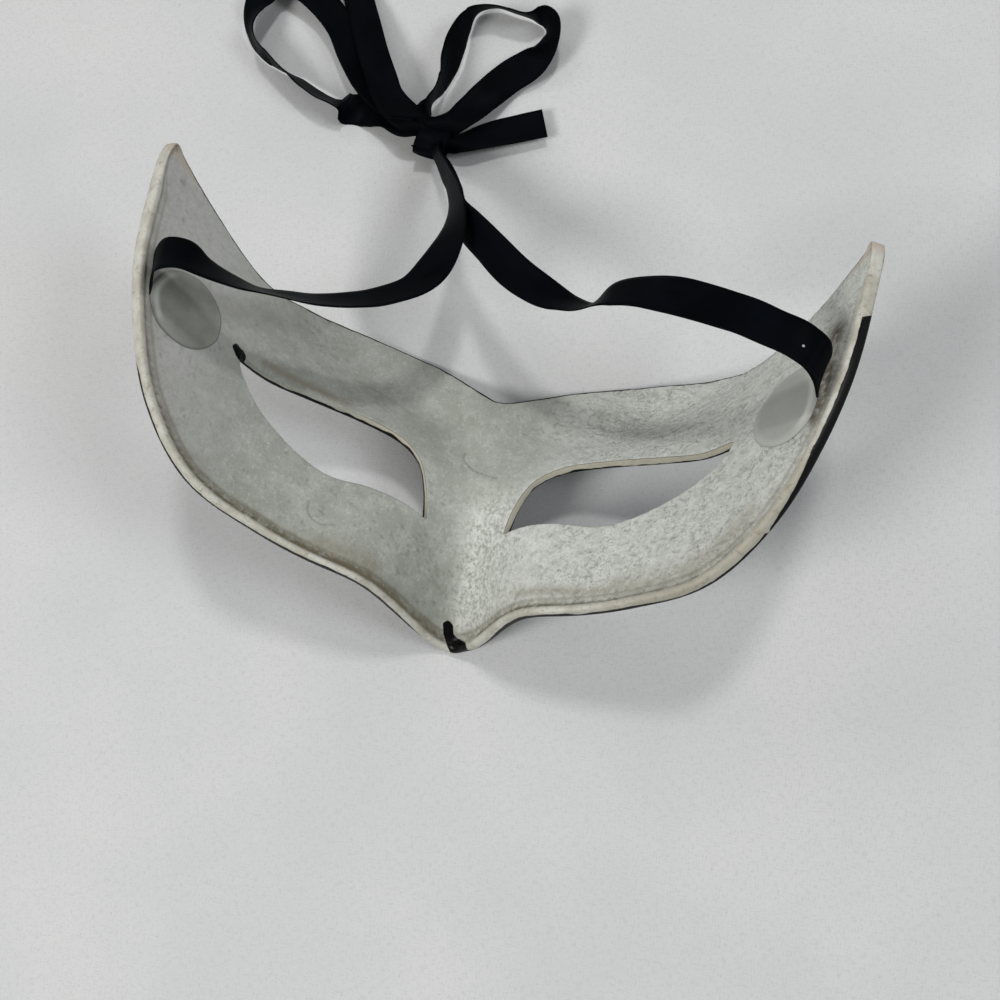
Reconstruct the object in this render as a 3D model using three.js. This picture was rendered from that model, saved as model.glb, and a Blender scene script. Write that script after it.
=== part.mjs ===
// Masquerade mask lying face down: a moulded shell with two eye openings, two glued patches and a satin
// ribbon from each patch, tied in a bow behind the brow. Millimetres, +Z up, the wearer's side on top.
import * as THREE from 'three';

// Shell. The flat pattern has u across the face from the nose and v up the face from the eye line.
const wall = 2.4;
const browEdge = [
  [0, 35.5], [15, 45], [28.5, 49.5], [43, 51], [57, 49], [71, 44.5], [89.5, 47.5], [113, 52.5],
];
const lowerEdge = [
  [113, 52.5], [113, 46.5], [110.5, 35.5], [106, 21], [98, 6], [86.5, -9],
  [70, -20.5], [49.5, -24.5], [32.5, -26.5], [19.5, -26.5], [10, -26], [0, -25],
];
const eyeTop = [
  [11.5, -3], [13, 3.5], [16.5, 11], [24, 16.5], [35.5, 18.5], [48.5, 18], [61, 16.5], [71, 17],
];
const eyeBottom = [
  [71, 17], [69, 13], [61, 6], [49, -0.5], [38, -3.5], [27.5, -2.5], [18.5, -2.5], [11.5, -3],
];

// Bend round the head: curvature per mm at the nose, over the cheeks and at the wings
const bend = { nose: 0.0082, cheek: 0.0133, wing: -0.0016, step: 0.5, reach: 130 };
const bendChange = { cheekFrom: 6.9, cheekTo: 35.6, wingFrom: 59.3, wingTo: 93.7 };

// Carved relief, as heights of the outer face
const nose = { bridge: 11, tip: -28, rise: 1.2, round: 2.1, fade: 23.7 };
const noseHeight = { bridge: 3.7, tip: 35.3 };
const noseWidth = { bridge: 10.7, tip: 14.2 };
const brow = { height: 3.6, at: 23.5, slope: 0.33, width: 10.6, from: 14, to: 45, fade: 30 };
const socket = { depth: 2.3, u: 39.7, v: 2.7, halfWidth: 19.1, halfHeight: 15 };
const sweep = { square: 4.4, twist: -7.9, lift: -0.3, lean: 10.2, vScale: 40, uScale: 60 };

// Rolled rim along the lower edge, on the wearer's side, with a groove inside it: how far in from the edge
// each of its lines lies, and how high above the wearer's face. It runs out at the wing tip.
const rim = { insets: [0, 0.8, 2.4, 3.4], heights: [0.2, 0.8, 0.6, -0.3], atTip: 0.5 };
const tipRelief = { reach: 8, least: 0.3 };
const dipMitre = 1.2;

// Rest: the nose tip and the brow lie on the table, each on a small flat spot, worn this deep
const restTilt = 20;
const restFlat = 1;
const noseFlatHalf = 1.3;

// Round patches glued over the ribbons' ends
const patch = { u: 88.5, v: 17.5, radius: 9.3, thickness: 1.6, edge: 0.5, roundness: 3, rings: 4, sides: 20 };
const gap = 0.3;

// Satin ribbon
const ribbon = { width: 9.5, thickness: 0.8, bevel: 0.25, step: 8.5 };
const knot = { centre: [-38.5, 93.8, 5.2], length: 11.5, depth: 8.4, height: 8, turn: -14 };
const knotForm = { waist: 0.8, sides: 8 };

// Each stretch of ribbon: the middle of its width, then the direction that its width lies in
const stretches = {
  ribbon_left_strand: [
    [-77.2, 14.5, 65.2, -0.1, 1, 0.2], [-76.8, 17, 69.5, -0.1, 1, 0], [-73.5, 19.5, 72.5, -0.1, 0.9, -0.4],
    [-68.5, 20.5, 73, -0.1, 0.8, -0.5], [-64.5, 20, 71, 0, 0.7, -0.7], [-58, 19.5, 65, -0.1, 0.5, -0.9],
    [-53, 20, 59.5, -0.1, 0.3, -1], [-46.5, 21.5, 54, -0.2, 0.4, -0.9], [-37, 24.5, 48.5, -0.2, 0.5, -0.8],
    [-28, 30, 42.5, -0.4, 0.6, -0.7], [-23, 35, 39, -0.5, 0.6, -0.6], [-20.5, 42, 35, -0.8, 0.4, -0.4],
    [-20, 50.5, 31, -0.9, 0.1, -0.4], [-20, 60, 26.5, -0.8, 0, -0.6], [-22.5, 68.5, 22, -0.7, 0, -0.7],
    [-28, 77, 16.5, -0.7, 0, -0.8], [-33, 84, 11.5, -0.6, -0.1, -0.8], [-34.5, 86.5, 10, -0.6, -0.1, -0.8],
  ],
  ribbon_right_strand: [
    [78, 18.5, 64.4, -0.1, 1, 0.2], [77.5, 20.5, 68.5, 0.1, 1, 0.1], [75, 22.5, 71, 0.3, 1, 0.1],
    [71.5, 24, 71.5, 0.2, 1, 0.1], [64.5, 26.5, 69.5, 0.2, 1, 0.1], [58, 30, 66, 0.1, 1, 0.2],
    [50.5, 33, 62, 0, 1, 0.2], [42, 35.5, 57.5, 0, 1, 0.3], [35.5, 37, 53, 0, 0.8, 0.6],
    [28.5, 37, 49, 0.1, 0.4, 0.9], [22, 35.5, 44.5, 0.1, 0.1, 1], [16.5, 36, 42, 0.2, 0.5, 0.9],
    [10.5, 38, 39.5, 0.2, 0.7, 0.7], [2, 43, 36.5, 0.2, 0.8, 0.5], [-7, 50.5, 32.5, 0.4, 0.9, 0.1],
    [-14, 58, 28, 0.5, 0.8, 0.3], [-18.5, 62.5, 24, 0.6, 0.3, 0.7], [-21.5, 68.5, 20.5, 0.7, 0, 0.7],
    [-26.5, 77.5, 15, 0.7, 0, 0.8], [-31.5, 84.5, 9.5, 0.6, 0.1, 0.8], [-33, 87, 8, 0.6, 0.1, 0.8],
  ],
  ribbon_left_loop: [
    [-45.5, 95.5, 4.8, -0.3, 0.9, 0.2], [-54, 101.5, 3.4, -0.3, 0.9, 0.2],
    [-61.5, 103, 2.4, -0.2, 0.9, 0.1],
    [-69, 103, 3.6, -0.1, 0.7, 0.6], [-76.5, 104, 5.5, 0.2, -0.1, 1], [-86.5, 109.5, 5.5, 0.2, -0.1, 1],
    [-95, 114, 5.5, 0.3, -0.1, 1], [-101.5, 118, 5.5, 0.3, -0.1, 1], [-104.5, 123, 5.5, 0.3, -0.1, 1],
    [-105.5, 131.5, 6, 0.7, 0, 0.7], [-104.5, 136.5, 6, 1, -0.1, 0.2], [-102, 140.5, 6, 0.7, -0.7, 0.1],
    [-97.5, 142.5, 6, 0.2, -1, -0.1], [-91.5, 140.5, 5.5, -0.4, -0.9, 0.1], [-84, 134.5, 5, -0.6, -0.7, 0.3],
    [-76.5, 127.5, 4.4, -0.7, -0.5, 0.4], [-69.5, 118.5, 4.2, -0.8, -0.4, 0.3],
    [-62, 109.5, 5.2, -0.8, -0.5, 0.3], [-53, 103, 7.2, -0.8, -0.5, 0.2],
  ],
  ribbon_right_loop: [
    [-42.3, 99.6, 6.5, 0.5, 0.3, -0.8], [-41.5, 104, 7, 0.2, 0.3, -1], [-41, 108, 7, 0.1, 0.2, -1],
    [-39, 114, 6.5, 0.4, 0.1, -0.9], [-38.5, 120.5, 6, 0.6, 0.1, -0.8], [-38, 129, 5.5, 0.7, 0, -0.7],
    [-36.5, 135.5, 5.5, 0.4, 0, -0.9], [-33.5, 139.5, 5.5, 0.1, 0, -1], [-29.5, 141.5, 5.5, -0.1, 0.1, -1],
    [-23, 140.5, 5.5, -0.2, 0.1, -1], [-17.5, 140.5, 5.5, -0.2, 0.1, -1], [-13.5, 141, 5.5, -0.3, -0.2, -0.9],
    [-10.5, 137.5, 5.5, -0.6, 0.1, -0.8], [-11, 130, 5, -0.6, 0.6, -0.6], [-15.5, 124, 4.5, -0.6, 0.7, -0.3],
    [-20.5, 119.5, 4.4, -0.6, 0.7, -0.3], [-26, 112, 4.8, -0.6, 0.6, -0.4], [-30, 106, 5.8, -0.6, 0.7, -0.4],
    [-33, 102, 6.6, -0.6, 0.6, -0.4],
  ],
  ribbon_left_tail: [
    [-53.5, 104, 9.6, 0.9, 0.5, 0], [-57.5, 110.5, 8.6, 0.9, 0.4, 0], [-62.5, 119, 7.2, 0.9, 0.4, 0],
    [-68.5, 130.5, 4.8, 0.9, 0.4, 0], [-74, 141, 2.6, 0.9, 0.3, 0], [-78, 150, 1.5, 0.9, 0.3, 0],
    [-82, 159, 1.2, 0.9, 0.3, 0], [-85, 166, 1.2, 0.9, 0.3, 0],
  ],
  ribbon_right_tail: [
    [-31, 94.8, 4, 0, 0.8, -0.6], [-28, 96.3, 3.8, -0.1, 0.8, -0.6], [-22, 99.7, 3.6, -0.1, 0.8, -0.6],
    [-15.5, 103.3, 3.5, -0.1, 0.8, -0.6], [-6.5, 106.5, 3.4, -0.1, 0.8, -0.6],
  ],
};

const satin = new THREE.MeshStandardMaterial({ color: 0x07090f, roughness: 0.45, metalness: 0 });
const gesso = new THREE.MeshStandardMaterial({ color: 0xb9bcb2, roughness: 0.8, metalness: 0 });
const glue = new THREE.MeshStandardMaterial({ color: 0xa3a8a2, roughness: 0.55, metalness: 0 });

const { lerp, smoothstep, degToRad } = THREE.MathUtils;

// Angle and place of the bent shell at each step of u, added up from its curvature
const bendTable = [{ angle: 0, x: 0, z: 0 }];
for (let u = bend.step / 2; u < bend.reach; u += bend.step) {
  const last = bendTable[bendTable.length - 1];
  const toCheek = smoothstep(u, bendChange.cheekFrom, bendChange.cheekTo);
  const toWing = smoothstep(u, bendChange.wingFrom, bendChange.wingTo);
  const curvature = bend.nose + (bend.cheek - bend.nose) * toCheek + (bend.wing - bend.cheek) * toWing;
  const turned = curvature * bend.step;
  const middle = last.angle + turned / 2;
  bendTable.push({
    angle: last.angle + turned,
    x: last.x + Math.cos(middle) * bend.step,
    z: last.z + Math.sin(middle) * bend.step,
  });
}

function bent(u) {
  const place = u / bend.step;
  const low = bendTable[Math.floor(place)];
  const high = bendTable[Math.floor(place) + 1];
  const part = place - Math.floor(place);
  const mix = (key) => lerp(low[key], high[key], part);
  return { angle: mix('angle'), x: mix('x'), z: mix('z') };
}

function relief(u, v) {
  const down = Math.max(0, (nose.bridge - v) / (nose.bridge - nose.tip));
  const ridge = lerp(noseHeight.bridge, noseHeight.tip, down ** nose.rise);
  const ridgeSide = Math.exp(-((u / lerp(noseWidth.bridge, noseWidth.tip, down)) ** nose.round));
  const noseShape = ridge * ridgeSide * (1 - smoothstep(v, nose.bridge, nose.bridge + nose.fade));
  const browLine = (v - brow.at - brow.slope * u) / brow.width;
  const browEnds = smoothstep(u, 0, brow.from) * (1 - smoothstep(u, brow.to, brow.to + brow.fade));
  const browShape = brow.height * Math.exp(-(browLine ** 2)) * browEnds;
  const across = (u - socket.u) / socket.halfWidth;
  const up = (v - socket.v) / socket.halfHeight;
  const socketShape = socket.depth * Math.exp(-(across ** 2) - up ** 2);
  const vs = v / sweep.vScale;
  const us = u / sweep.uScale;
  const sweepShape = sweep.square * vs ** 2 + sweep.twist * vs * us ** 2 + sweep.lift * (vs * us) ** 2
    + sweep.lean * vs * us;
  return noseShape + browShape - socketShape + sweepShape;
}

// Outer face, before the mask is laid down; u may be a little past the middle
function outerPoint(u, v) {
  const side = u < 0 ? -1 : 1;
  const base = bent(Math.abs(u));
  const height = relief(Math.abs(u), v);
  return new THREE.Vector3(
    side * (base.x + height * Math.sin(base.angle)), v, base.z - height * Math.cos(base.angle));
}

// A point at a depth behind the outer face, towards the wearer
const slopeReach = 0.2;
function shellPoint(u, v, depth) {
  const acrossFace = outerPoint(u + slopeReach, v).sub(outerPoint(u - slopeReach, v));
  const upFace = outerPoint(u, v + slopeReach).sub(outerPoint(u, v - slopeReach));
  const inward = acrossFace.cross(upFace).normalize();
  if (u === 0) inward.x = 0;
  return outerPoint(u, v).addScaledVector(inward.normalize(), depth);
}

// Columns along the outline, from the dip of the brow to the wing tip and on to the nose tip
const count = { centre: 12, brow: 24, lower: 40, fill: 6 };

// Where the fill's columns end on the eye, in mm along its edge from the corners, and which columns those are
const eyeMarks = { nose: 10, dip: 17, corner: 6, innerAt: 5, fan: 5, inset: 1, mostInset: 0.5 };

function toPoints(list) {
  return list.map(([u, v]) => new THREE.Vector2(u, v));
}

const browCurve = new THREE.SplineCurve(toPoints(browEdge));
const lowerCurve = new THREE.SplineCurve(toPoints(lowerEdge));
const eyeTopCurve = new THREE.SplineCurve(toPoints(eyeTop));
const eyeBottomCurve = new THREE.SplineCurve(toPoints(eyeBottom));

function edgeColumns() {
  const columns = [];
  const browLength = browCurve.getLength();
  const lowerLength = lowerCurve.getLength();
  for (let i = 0; i <= count.brow; i++) {
    const s = i / count.brow;
    const tangent = browCurve.getTangentAt(s);
    const inward = [tangent.y, -tangent.x];
    columns.push({ at: browCurve.getPointAt(s), inward, toTip: (1 - s) * browLength, rim: 0 });
  }
  const tip = columns.pop();
  const after = lowerCurve.getTangentAt(0);
  const bisector = new THREE.Vector2(tip.inward[0] + after.y, tip.inward[1] - after.x).normalize();
  columns.push({ at: tip.at, inward: [bisector.x, bisector.y], toTip: 0, rim: rim.atTip });
  const lowerStops = Array.from({ length: count.lower }, (_, i) => (i + 1) / count.lower);
  lowerStops.splice(-1, 0, 1 - noseFlatHalf / lowerLength);
  for (const s of lowerStops) {
    const tangent = lowerCurve.getTangentAt(s);
    const inward = [tangent.y, -tangent.x];
    columns.push({ at: lowerCurve.getPointAt(s), inward, toTip: s * lowerLength, rim: 1 });
  }
  columns[0].inward = [0, -dipMitre];
  columns[columns.length - 1].inward = [0, 1];
  return columns;
}

function eyePoint(s) {
  const top = eyeTopCurve.getLength();
  const bottom = eyeBottomCurve.getLength();
  const along = (s + top + bottom) % (top + bottom);
  if (along <= top) return eyeTopCurve.getPointAt(along / top);
  return eyeBottomCurve.getPointAt((along - top) / bottom);
}

// The shell's half for u > 0, as grids of (u, v, depth) for the outer and the wearer's face
function halfGrids() {
  const columns = edgeColumns();
  const rimGrid = columns.map((column) => rim.insets.map((inset, row) => {
    const share = THREE.MathUtils.clamp(column.toTip / tipRelief.reach, tipRelief.least, 1);
    return {
      u: Math.max(0, column.at.x + column.inward[0] * inset * share),
      v: column.at.y + column.inward[1] * inset * share,
      depth: wall + rim.heights[row] * column.rim,
    };
  }));
  const last = rim.insets.length - 1;
  const dip = rimGrid[0][last];
  const tip = rimGrid[rimGrid.length - 1][last];
  const loop = [];
  for (let i = 0; i < count.centre; i++) {
    loop.push({ u: 0, v: tip.v + (dip.v - tip.v) * i / count.centre, depth: i === 0 ? tip.depth : wall });
  }
  rimGrid.forEach((column) => loop.push(column[last]));
  const top = eyeTopCurve.getLength();
  const around = top + eyeBottomCurve.getLength();
  const outerCorner = count.centre + count.brow;
  const marks = [
    [0, -eyeMarks.nose], [eyeMarks.innerAt, 0], [count.centre, eyeMarks.dip],
    [outerCorner - eyeMarks.fan, top - eyeMarks.corner], [outerCorner, top],
    [outerCorner + eyeMarks.fan, top + eyeMarks.corner], [loop.length - 1, around - eyeMarks.nose],
  ];
  const fill = loop.map((from, i) => {
    const next = Math.max(1, marks.findIndex(([index]) => index >= i));
    const [lowIndex, lowS] = marks[next - 1];
    const [highIndex, highS] = marks[next];
    const eye = eyePoint(lowS + (highS - lowS) * (i - lowIndex) / (highIndex - lowIndex));
    const column = [from];
    const length = Math.hypot(eye.x - from.u, eye.y - from.v);
    const fullShare = 1 - Math.min(eyeMarks.mostInset, eyeMarks.inset / length);
    for (let row = 1; row <= count.fill; row++) {
      const share = row / count.fill * fullShare;
      column.push({ u: lerp(from.u, eye.x, share), v: lerp(from.v, eye.y, share), depth: wall });
    }
    column.push({ u: eye.x, v: eye.y, depth: wall });
    return column;
  });
  return { rimGrid, fill };
}

function shellGeometry() {
  const { rimGrid, fill } = halfGrids();
  const triangles = [];
  const quad = (a, b, c, d) => {
    if (a.distanceTo(c) < b.distanceTo(d)) triangles.push([a, c, b], [a, d, c]);
    else triangles.push([a, d, b], [b, d, c]);
  };
  const outer = (node) => shellPoint(node.u, node.v, 0);
  const inner = (node) => shellPoint(node.u, node.v, node.depth);
  const sheet = (grid) => {
    for (let i = 0; i + 1 < grid.length; i++) {
      for (let j = 0; j + 1 < grid[i].length; j++) {
        const corners = [grid[i][j], grid[i][j + 1], grid[i + 1][j + 1], grid[i + 1][j]];
        quad(...corners.map(outer));
        quad(...corners.map(inner).reverse());
      }
    }
  };
  const wallAlong = (line, flip) => {
    for (let i = 0; i + 1 < line.length; i++) {
      const corners = [outer(line[i]), outer(line[i + 1]), inner(line[i + 1]), inner(line[i])];
      quad(...(flip ? corners.reverse() : corners));
    }
  };
  sheet(rimGrid);
  sheet(fill);
  wallAlong(rimGrid.map((column) => column[0]), false);
  wallAlong(fill.map((column) => column[column.length - 1]), true);
  const mirrored = triangles.map(([a, b, c]) => [a, c, b].map((p) => new THREE.Vector3(-p.x, p.y, p.z)));
  return triangles.concat(mirrored);
}

function toGeometry(triangles) {
  const geometry = new THREE.BufferGeometry();
  const numbers = triangles.flat().flatMap((p) => [p.x, p.y, p.z]);
  geometry.setAttribute('position', new THREE.Float32BufferAttribute(numbers, 3));
  geometry.computeVertexNormals();
  return geometry;
}

// Lay the mask down: tilt it on to its nose tip and brow, and set the origin below its middle
const layTilt = new THREE.Matrix4().makeRotationX(-degToRad(restTilt));
const shellTriangles = shellGeometry();
const shellCorners = [...new Set(shellTriangles.flat())];
shellCorners.forEach((p) => p.applyMatrix4(layTilt));
const tilted = new THREE.Box3().setFromPoints(shellCorners);
const layShift = new THREE.Vector3(0, -(tilted.min.y + tilted.max.y) / 2, -tilted.min.z - restFlat);
shellCorners.forEach((p) => {
  p.add(layShift);
  p.z = Math.max(0, p.z);
});

function laid(u, v, depth) {
  return shellPoint(u, v, depth).applyMatrix4(layTilt).add(layShift);
}

// A low domed disc on the wearer's face
function patchTriangles(side) {
  const at = (ring, turn, top) => {
    const radius = patch.radius * ring / patch.rings;
    const angle = turn / patch.sides * 2 * Math.PI;
    const dome = lerp(patch.thickness, patch.edge, (ring / patch.rings) ** patch.roundness);
    const u = patch.u + radius * Math.cos(angle);
    const p = laid(u, patch.v + radius * Math.sin(angle), wall + gap + (top ? dome : 0));
    return new THREE.Vector3(side * p.x, p.y, p.z);
  };
  const triangles = [];
  for (let turn = 0; turn < patch.sides; turn++) {
    for (const top of [true, false]) {
      const faces = [[at(0, 0, top), at(1, turn, top), at(1, turn + 1, top)]];
      for (let ring = 1; ring < patch.rings; ring++) {
        const [a, b] = [at(ring, turn, top), at(ring + 1, turn, top)];
        const [c, d] = [at(ring + 1, turn + 1, top), at(ring, turn + 1, top)];
        faces.push([a, b, c], [a, c, d]);
      }
      faces.forEach((face) => triangles.push(top ? face : face.reverse()));
    }
    const [a, b] = [at(patch.rings, turn, false), at(patch.rings, turn + 1, false)];
    const [c, d] = [at(patch.rings, turn + 1, true), at(patch.rings, turn, true)];
    triangles.push([a, b, c], [a, c, d]);
  }
  return side > 0 ? triangles : triangles.map((face) => face.reverse());
}

// A closed body through rings of points that all have the same number of corners
function loft(rings) {
  const triangles = [];
  const sides = rings[0].length;
  for (let i = 0; i + 1 < rings.length; i++) {
    for (let j = 0; j < sides; j++) {
      const k = (j + 1) % sides;
      const [a, b, c, d] = [rings[i][j], rings[i][k], rings[i + 1][k], rings[i + 1][j]];
      triangles.push([a, b, c], [a, c, d]);
    }
  }
  const first = rings[0];
  const last = rings[rings.length - 1];
  for (let j = 1; j + 1 < sides; j++) {
    triangles.push([first[0], first[j + 1], first[j]], [last[0], last[j], last[j + 1]]);
  }
  return triangles;
}

function curveThrough(points) {
  return new THREE.CatmullRomCurve3(points.map((p) => new THREE.Vector3(...p)), false, 'catmullrom');
}

// A flat ribbon with bevelled edges: each station turns its width
function ribbonTriangles(stations) {
  const middle = curveThrough(stations.map((station) => station.slice(0, 3)));
  const widths = curveThrough(stations.map((station) => station.slice(3)));
  const steps = Math.round(middle.getLength() / ribbon.step);
  const [w, t, b] = [ribbon.width / 2, ribbon.thickness / 2, ribbon.bevel];
  const lower = [[-w, -t + b], [-w + b, -t], [w - b, -t], [w, -t + b]];
  const section = lower.concat(lower.map(([a, f]) => [-a, -f]));
  const rings = [];
  for (let i = 0; i <= steps; i++) {
    const along = middle.getUtoTmapping(i / steps);
    const tangent = middle.getTangent(along);
    const across = widths.getPoint(along);
    across.addScaledVector(tangent, -across.dot(tangent)).normalize();
    const face = new THREE.Vector3().crossVectors(tangent, across);
    const centre = middle.getPoint(along);
    rings.push(section.map(([a, f]) => centre.clone().addScaledVector(across, a).addScaledVector(face, f)));
  }
  return loft(rings);
}

// The knot: the ribbons' wraps as one plain body, narrower at its ends
function knotTriangles() {
  const corner = 1 / Math.cos(Math.PI / knotForm.sides);
  const rings = [[-1, knotForm.waist], [-0.5, 1], [0.5, 1], [1, knotForm.waist]].map(([end, size]) => {
    const ring = [];
    for (let j = 0; j < knotForm.sides; j++) {
      const angle = (j + 0.5) / knotForm.sides * 2 * Math.PI;
      const y = Math.cos(angle) * corner * size * knot.depth / 2;
      const z = Math.sin(angle) * corner * size * knot.height / 2;
      ring.push(new THREE.Vector3(end * knot.length / 2, y, z));
    }
    return ring;
  });
  const place = new THREE.Matrix4().makeRotationZ(degToRad(knot.turn)).setPosition(...knot.centre);
  rings.flat().forEach((p) => p.applyMatrix4(place));
  return loft(rings);
}

const mask = new THREE.Group();

function addPiece(name, triangles, material) {
  const mesh = new THREE.Mesh(toGeometry(triangles), material);
  mesh.name = name;
  mask.add(mesh);
}

addPiece('mask_shell', shellTriangles, gesso);
addPiece('patch_left', patchTriangles(-1), glue);
addPiece('patch_right', patchTriangles(1), glue);
addPiece('ribbon_knot', knotTriangles(), satin);
for (const [name, stations] of Object.entries(stretches)) {
  addPiece(name, ribbonTriangles(stations), satin);
}

export default mask;
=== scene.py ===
# Masquerade mask lying face down, seen from the wearer's side, with its satin ribbons tied in a bow.
import math
import random
import bpy
import numpy as np
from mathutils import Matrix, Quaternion, Vector, noise
from mathutils.geometry import delaunay_2d_cdt


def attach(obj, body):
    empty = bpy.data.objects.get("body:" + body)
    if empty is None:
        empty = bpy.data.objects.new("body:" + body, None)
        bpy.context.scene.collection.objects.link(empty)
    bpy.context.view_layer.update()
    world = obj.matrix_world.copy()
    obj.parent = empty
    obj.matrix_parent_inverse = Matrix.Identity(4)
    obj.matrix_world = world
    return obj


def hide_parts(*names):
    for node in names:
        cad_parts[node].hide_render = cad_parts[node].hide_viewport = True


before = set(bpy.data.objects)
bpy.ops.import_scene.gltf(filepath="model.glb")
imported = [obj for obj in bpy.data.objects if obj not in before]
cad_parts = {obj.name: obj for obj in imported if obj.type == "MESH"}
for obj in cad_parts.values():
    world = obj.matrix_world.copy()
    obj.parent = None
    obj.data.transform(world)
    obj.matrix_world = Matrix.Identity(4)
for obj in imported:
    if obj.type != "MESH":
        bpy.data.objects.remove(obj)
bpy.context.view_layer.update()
scene = bpy.context.scene
mm = 0.001


# Camera
cameraSetup = {
    "place": (0.05016, -0.06104, 0.28532),
    "looksAt": (0.00427, -0.00885, 0.0),
    "roll": 29.79,  # degrees, held turned to the left
    "lens": 37.46,
    "sensor": 36.0,
    "clipStart": 0.01,
}


def addObject(name, data):
    made = bpy.data.objects.new(name, data)
    scene.collection.objects.link(made)
    return made


def aimAt(made, place, target, roll=0.0):
    # Turns a camera or light at one place towards another
    made.location = place
    made.rotation_mode = "QUATERNION"
    aim = (Vector(target) - Vector(place)).to_track_quat("-Z", "Y")
    made.rotation_quaternion = aim @ Quaternion((0, 0, 1), -math.radians(roll))


def makeCamera():
    data = bpy.data.cameras.new("camera")
    data.lens = cameraSetup["lens"]
    data.sensor_width = cameraSetup["sensor"]
    data.clip_start = cameraSetup["clipStart"]
    scene.camera = addObject("camera", data)
    aimAt(scene.camera, cameraSetup["place"], cameraSetup["looksAt"], cameraSetup["roll"])


makeCamera()
print("camera placed")


# Small helpers for meshes and curves
def smoothStep(x, low, high):
    t = np.clip((np.asarray(x, float) - low) / (high - low), 0, 1)
    return t * t * (3 - 2 * t)


def catmullRom(points, perSpan):
    p = np.array(points, float)
    ends = np.vstack([p[:1], p, p[-1:]])
    t = np.linspace(0, 1, perSpan, endpoint=False)[:, None]
    spans = []
    for i in range(len(p) - 1):
        a, b, c, d = ends[i:i + 4]
        spans.append(0.5 * (2 * b + (c - a) * t + (2 * a - 5 * b + 4 * c - d) * t ** 2
                            + (3 * b - a - 3 * c + d) * t ** 3))
    return np.vstack(spans + [p[-1:]])


def smoothLine(points, perSpan):
    # A cubic line through unevenly spaced points, without overshoot where two points lie close
    p = np.array(points, float)
    h = np.maximum(np.linalg.norm(np.diff(p[:, :3], axis=0), axis=1), 1e-9)[:, None]
    slope = np.diff(p, axis=0) / h
    middle = (slope[1:] * h[:-1] + slope[:-1] * h[1:]) / (h[1:] + h[:-1])
    m = np.vstack([slope[:1], middle, slope[-1:]])
    t = np.linspace(0, 1, perSpan, endpoint=False)[:, None]
    spans = []
    for i in range(len(p) - 1):
        spans.append((2 * t ** 3 - 3 * t ** 2 + 1) * p[i] + (t ** 3 - 2 * t ** 2 + t) * h[i] * m[i]
                     + (3 * t ** 2 - 2 * t ** 3) * p[i + 1] + (t ** 3 - t ** 2) * h[i] * m[i + 1])
    return np.vstack(spans + [p[-1:]])


def lengthsAlong(points):
    steps = np.linalg.norm(np.diff(points, axis=0), axis=1)
    return np.concatenate([[0], np.cumsum(steps)])


def evenly(points, step, columns=3):
    # The same line with points a fixed step apart, measured on its first columns
    along = lengthsAlong(points[:, :columns])
    stops = np.linspace(0, along[-1], max(2, round(along[-1] / step)) + 1)
    return np.stack([np.interp(stops, along, points[:, k]) for k in range(points.shape[1])], 1)


def unit(v):
    return v / np.maximum(np.linalg.norm(v, axis=-1, keepdims=True), 1e-12)


def makeMesh(name, vertices, faces, attributes=None):
    mesh = bpy.data.meshes.new(name)
    mesh.from_pydata([tuple(v) for v in vertices], [], [tuple(int(i) for i in f) for f in faces])
    mesh.polygons.foreach_set("use_smooth", [True] * len(mesh.polygons))
    for key, values in (attributes or {}).items():
        values = np.asarray(values, np.float32)
        kind = "FLOAT_VECTOR" if values.ndim == 2 else "FLOAT"
        layer = mesh.attributes.new(key, kind, "POINT")
        layer.data.foreach_set("vector" if values.ndim == 2 else "value", values.ravel())
    mesh.update()
    return addObject(name, mesh)


def ringFaces(firsts, count):
    # Faces between rings with the same count of points, given by each ring's first point
    faces = []
    for a, b in zip(firsts, firsts[1:]):
        for j in range(count):
            k = (j + 1) % count
            faces.append((a + j, a + k, b + k, b + j))
    return faces


def noiseAt(points, size, seed):
    # Smooth noise from -1 to 1, with features of the given size in mm
    shift = Vector((seed * 17.3, seed * 5.1, seed * 11.7))
    return np.array([noise.noise(Vector(p) / size + shift) for p in points])


# Ribbons. Each station is the middle of the ribbon's width and the direction that its width lies in.
ribbon = {
    "width": 0.0095,
    "thickness": 0.0004,
    "step": 0.0009,
    "perSpan": 24,
    "across": 10,
    "cup": 0.00025,  # how far the middle lies below the edges
    "ripple": 0.0002,
    "rippleSizes": (6.0, 11.0),  # mm along the ribbon
    "edgeRound": 0.35,
    "selvedge": 0.25,
    "selvedgeAt": 0.9,  # share of half the width
    "selvedgeWidth": 0.06,
    "lowest": 0.0001,
}
knot = {
    "centre": (-0.0385, 0.0938, 0.0056),
    "turn": -14,
    "reach": (0.0043, 0.0034),  # half of its depth and height
    "start": -150,  # degrees
    "step": 20,
    "wraps": 1.3,
    "grow": 0.0006,
    "pinch": 0.07,
    "skew": 0.0012,
    "lean": 0.22,
    "slow": 0.7,
    "gather": 0.62,
    "gatherReach": 0.0062,
}

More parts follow.
